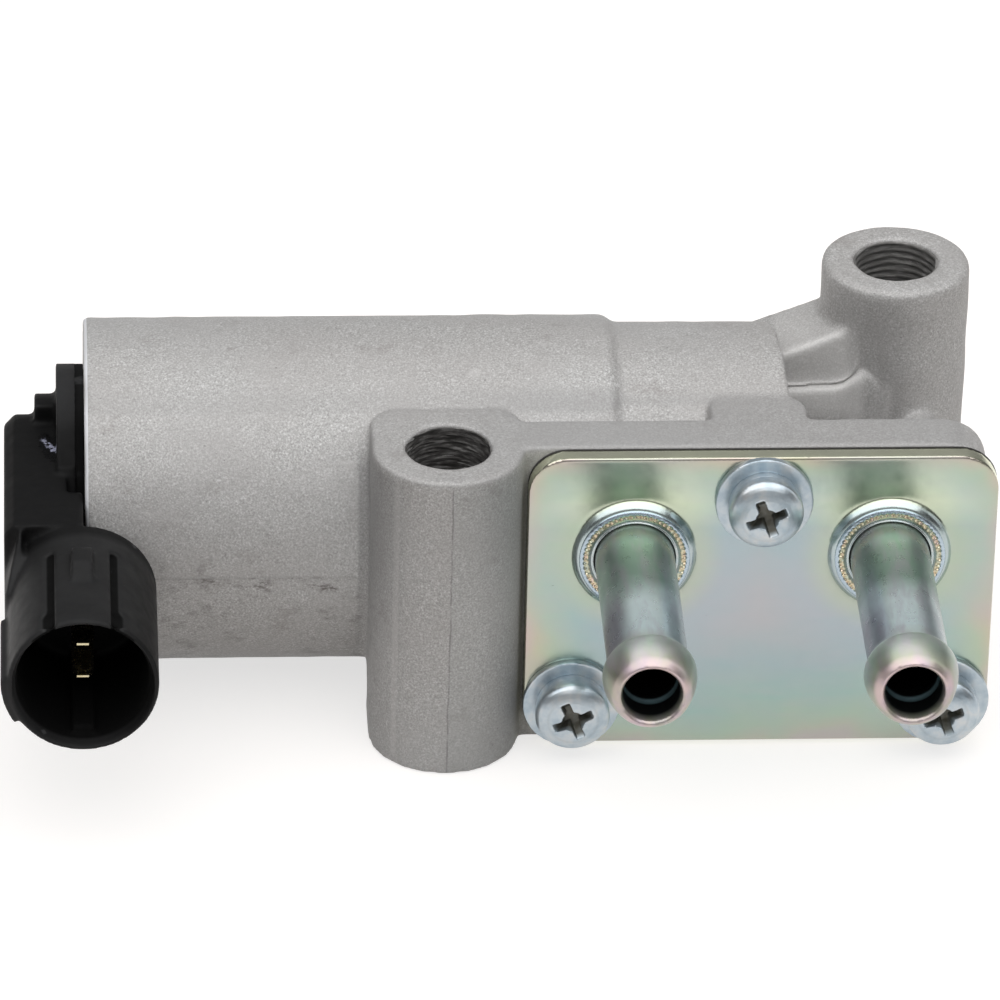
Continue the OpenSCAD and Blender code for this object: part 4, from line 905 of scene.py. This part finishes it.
def make_plate():
    """Plate, and the gasket behind it pressed thin by it."""
    front, back = node_box("coolant_gasket")[0][1], node_box("coolant_gasket")[1][1]
    pressed = 0.6 * (back - front)

    def plate_shape(points):
        points[:, 1] += pressed * np.clip((points[:, 1] - front + 0.35) / 0.2, 0, 1)
        return points

    mesh = soften("coolant_plate", 0.20, 3, 120000, plate_shape)
    finish_piece("plated_cover", mesh, "yellow_zinc_steel", replaced=("coolant_plate",))
    mesh = cad_mesh("coolant_gasket")
    points = get_points(mesh)
    points[:, 1] = np.maximum(points[:, 1], front + pressed)
    set_points(mesh, points)
    finish_piece("pressed_gasket", mesh, "gasket", replaced=("coolant_gasket",))


def make_nipple(side):
    node = "coolant_nipple_" + side
    finish_piece("hose_nipple_" + side, soften(node, 0.17, 4, 64000), "yellow_zinc_steel", (node,),
                 TUBE_PLATING)


def staked_ring(side):
    """Ring of small teeth that the staking tool left on the plate round a nipple."""
    centre = middle("coolant_nipple_" + side)
    teeth, steps, inner_r, outer_r, rows = 58, 58 * 8, 4.05, 5.55, 26
    rng = np.random.default_rng(SEED + (1 if side == "left" else 2))
    jitter = rng.uniform(-0.2, 0.2, teeth)
    size = rng.uniform(0.5, 1.0, teeth)
    angles = np.linspace(0, 2 * math.pi, steps, endpoint=False)
    phase = angles * teeth / (2 * math.pi)
    tooth = phase.astype(int) % teeth
    wave = size[tooth] * (0.5 + 0.5 * np.cos(2 * math.pi * (phase + jitter[tooth])))
    radii = np.linspace(inner_r, outer_r, rows)
    face = PLATE_FACE - 0.1
    points = []
    for r in radii:
        dome = 0.1 + 0.9 * math.sin(math.radians(np.interp(r, (4.0, 5.075, 6.15), (160, 90, 0))))
        lip = 0.30 * math.exp(-((r - 4.15) / 0.13) ** 2)
        band = math.exp(-((r - 5.0) / 0.20) ** 2)
        lift = dome + 0.02 + lip - band * (0.20 - 0.22 * wave)
        for angle, h in zip(angles, np.broadcast_to(lift, angles.shape)):
            points.append((centre[0] + r * math.cos(angle), face - h,
                           centre[2] + r * math.sin(angle)))
    for r in (outer_r, inner_r):
        for angle in angles:
            points.append((centre[0] + r * math.cos(angle), face + 0.4,
                           centre[2] + r * math.sin(angle)))
    name = "staked_ring_" + side
    mesh = mesh_from(name, points, tube_faces(rows + 2, steps, flip=True))
    finish_piece(name, mesh, "yellow_zinc_steel", material=RING_PLATING)


def turned_down(place):
    """Turns a spring washer about its screw until its slit is hidden below the screw's head."""
    centre = middle("cover_screw_" + place)
    turn = math.radians(WASHER_TURN[place])

    def shape(points):
        dx, dz = points[:, 0] - centre[0], points[:, 2] - centre[2]
        points[:, 0] = centre[0] + dx * math.cos(turn) - dz * math.sin(turn)
        points[:, 2] = centre[2] + dx * math.sin(turn) + dz * math.cos(turn)
        return points
    return shape


def make_fasteners(place):
    for name, node, *settings in (("pan_screw_", "cover_screw_", 0.08, 3, 28000),
                                  ("lock_washer_", "spring_washer_", 0.07, 4, 12000,
                                   turned_down(place)),
                                  ("plain_washer_", "flat_washer_", 0.10, 4, 10000)):
        mesh = soften(node + place, *settings)
        finish_piece(name + place, mesh, "clear_zinc_steel", (node + place,))


def blade_tip(side):
    """Turns a blade's blunt tip into a thin bevelled one."""
    low, high = node_box("terminal_" + side)
    mid_z = (low[2] + high[2]) / 2

    def shape(points):
        along = np.clip((points[:, 1] - low[1]) / 1.6, 0, 1)
        points[:, 2] = mid_z + (points[:, 2] - mid_z) * (0.36 + 0.64 * along)
        return points
    return shape


def cap_shape(points):
    """Takes the top of the cap's disc in a little, to the photo's height."""
    dy, dz = points[:, 1] - AXIS[1], points[:, 2] - AXIS[2]
    reach = np.hypot(dy, dz)
    on_disc = (points[:, 0] > BARREL_LEFT - 2.9) & (dz > 0.64 * reach) & (reach > DISC_R)
    share = np.where(on_disc, DISC_R / np.maximum(reach, 1.0), 1.0)
    points[:, 1] = AXIS[1] + dy * share
    points[:, 2] = AXIS[2] + dz * share
    return points


def disc_collar():
    """Ring that carries the cap's disc on to the barrel's lip."""
    inner_r, gap, steps = 11.9, 0.03, 160
    left, right = BARREL_LEFT - 1.1, BARREL_LEFT - gap
    section = [(left, inner_r), (left, DISC_R - 0.02), (right - 0.08, DISC_R - 0.02),
               (right, DISC_R - 0.10), (right, inner_r)]
    points = []
    for i in range(steps):
        a = 2 * math.pi * i / steps
        points += [(x, AXIS[1] + r * math.sin(a), AXIS[2] + r * math.cos(a)) for x, r in section]
    return mesh_from("disc_collar", points, tube_faces(steps, len(section)))


def make_cap():
    mesh = soften("connector_cap", 0.25, 2, 196000, cap_shape)
    mesh = join_meshes("moulded_cap", [mesh, disc_collar()])
    finish_piece("moulded_cap", mesh, "black_plastic", replaced=("connector_cap",))
    for side in ("upper", "lower"):
        node = "terminal_" + side
        finish_piece("blade_" + side, soften(node, 0.10, 2, 12000, blade_tip(side)),
                     "tinned_brass", replaced=(node,))


def make_spring():
    """Round wire with closed ends."""
    low, high = node_box("return_spring")
    wire_r, turns, closed, steps, sides = 0.45, 6, 1.0, 640, 14
    coil_r = (high[1] - low[1]) / 2 - wire_r
    centre = (low + high) / 2
    total = turns + 2 * closed
    start, end = low[0] + wire_r + 0.02, high[0] - wire_r - 0.02
    pitch_ends = 2 * wire_r * 1.02
    points = []
    for i in range(steps + 1):
        turn = total * i / steps
        climb = np.clip((turn - closed) / turns, 0, 1)
        along = start + pitch_ends * (min(turn, closed) + max(0.0, turn - closed - turns))
        along += climb * (end - start - 2 * pitch_ends * closed)
        a = 2 * math.pi * turn
        for j in range(sides):
            b = 2 * math.pi * j / sides
            r = coil_r + wire_r * math.cos(b)
            points.append((along + wire_r * math.sin(b), centre[1] + r * math.cos(a),
                           centre[2] + r * math.sin(a)))
    faces = tube_faces(steps + 1, sides, closed=False, flip=True)
    faces += [tuple(reversed(range(sides))), tuple(steps * sides + j for j in range(sides))]
    piece = finish_piece("coiled_spring", mesh_from("coiled_spring", points, faces),
                         "stainless_steel", replaced=("return_spring",))
    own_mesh(piece)


def make_camera():
    down, turn, roll = (math.radians(v) for v in (CAMERA_DOWN, CAMERA_TURN, CAMERA_ROLL))
    ahead = Vector((math.sin(turn) * math.cos(down), math.cos(turn) * math.cos(down),
                    -math.sin(down)))
    right = Vector((math.cos(turn), -math.sin(turn), 0))
    up = right.cross(ahead)
    side = math.cos(roll) * right + math.sin(roll) * up
    top = math.cos(roll) * up - math.sin(roll) * right
    data = bpy.data.cameras.new("camera")
    data.sensor_width = CAMERA_SENSOR
    data.lens = CAMERA_LENS
    camera = add_object("camera", data)
    matrix = Matrix((side, top, -ahead)).transposed().to_4x4()
    matrix.translation = MM * Vector(CAMERA_AT)
    camera.matrix_world = matrix
    bpy.context.scene.camera = camera


def make_floor():
    """Pale floor: white to the camera and in reflections, with the object's soft shadow."""
    size, drop = 3000.0, 0.05
    signs = ((-1, -1), (1, -1), (1, 1), (-1, 1))
    corners = [(size * x, size * y, -drop) for x, y in signs]
    mesh = mesh_from("floor", corners, [(0, 1, 2, 3)])
    mesh.transform(Matrix.Scale(MM, 4))
    floor = add_object("floor", mesh)
    g = material_graph("floor_white")
    rays = g.add("ShaderNodeLightPath").outputs
    glow = g.math("MAXIMUM", g.product(rays["Is Camera Ray"], FLOOR_SEEN),
                  g.product(rays["Is Glossy Ray"], FLOOR_GLOW))
    floor.data.materials.append(g.finish((0.46, 0.435, 0.415), 0.9, Emission_Color=(1, 1, 1),
                                         Emission_Strength=glow))


def soft_box(name, at, width, height, power):
    """Rectangular light aimed at the object."""
    data = bpy.data.lights.new(name, "AREA")
    data.shape = "RECTANGLE"
    data.size = width * MM
    data.size_y = height * MM
    data.energy = power
    lamp = add_object(name, data)
    lamp.location = MM * Vector(at)
    aim = Vector(LIGHT_AIM) - Vector(at)
    lamp.rotation_euler = aim.to_track_quat("-Z", "Y").to_euler()


def make_world():
    """White to the camera; to the rest, dimmer at the sides than in front, above and behind."""
    world = bpy.data.worlds.new("studio")
    bpy.context.scene.world = world
    g = Graph(world, "Generated", 1.0)
    x, y, _ = g.xyz
    strength = g.product(g.span(y, *WORLD_DEPTH), g.span(g.math("ABSOLUTE", x), *WORLD_SIDES))
    to_camera = g.add("ShaderNodeLightPath").outputs["Is Camera Ray"]
    g.put(g.shader.inputs["Color"], (1, 1, 1))
    g.put(g.shader.inputs["Strength"], g.math("MAXIMUM", to_camera, strength))


def make_lights():
    soft_box("top_light", (-20, -120, 650), 1500, 1150, 8.5)
    soft_box("left_light", (-560, -160, 200), 260, 420, 0.05)
    soft_box("right_light", (560, 60, 240), 300, 420, 0.30)


dress_cad_nodes()
make_casting()
hole_wall("front_hole_wall", FRONT_HOLE, FRONT_TOP, thread=0.03, pitch=1.4, thread_len=6.0,
          fine=0.10, seed=11)
hole_wall("rear_hole_wall", REAR_HOLE, REAR_TOP, thread=0.16, pitch=0.75, thread_len=5.0,
          fine=0.07, seed=13)
make_plate()
for nipple_side in ("left", "right"):
    make_nipple(nipple_side)
    staked_ring(nipple_side)
for screw_place in ("top", "left", "right"):
    make_fasteners(screw_place)
make_cap()
make_spring()
make_camera()
make_floor()
make_world()
make_lights()
bpy.context.scene.view_settings.view_transform = "Standard"
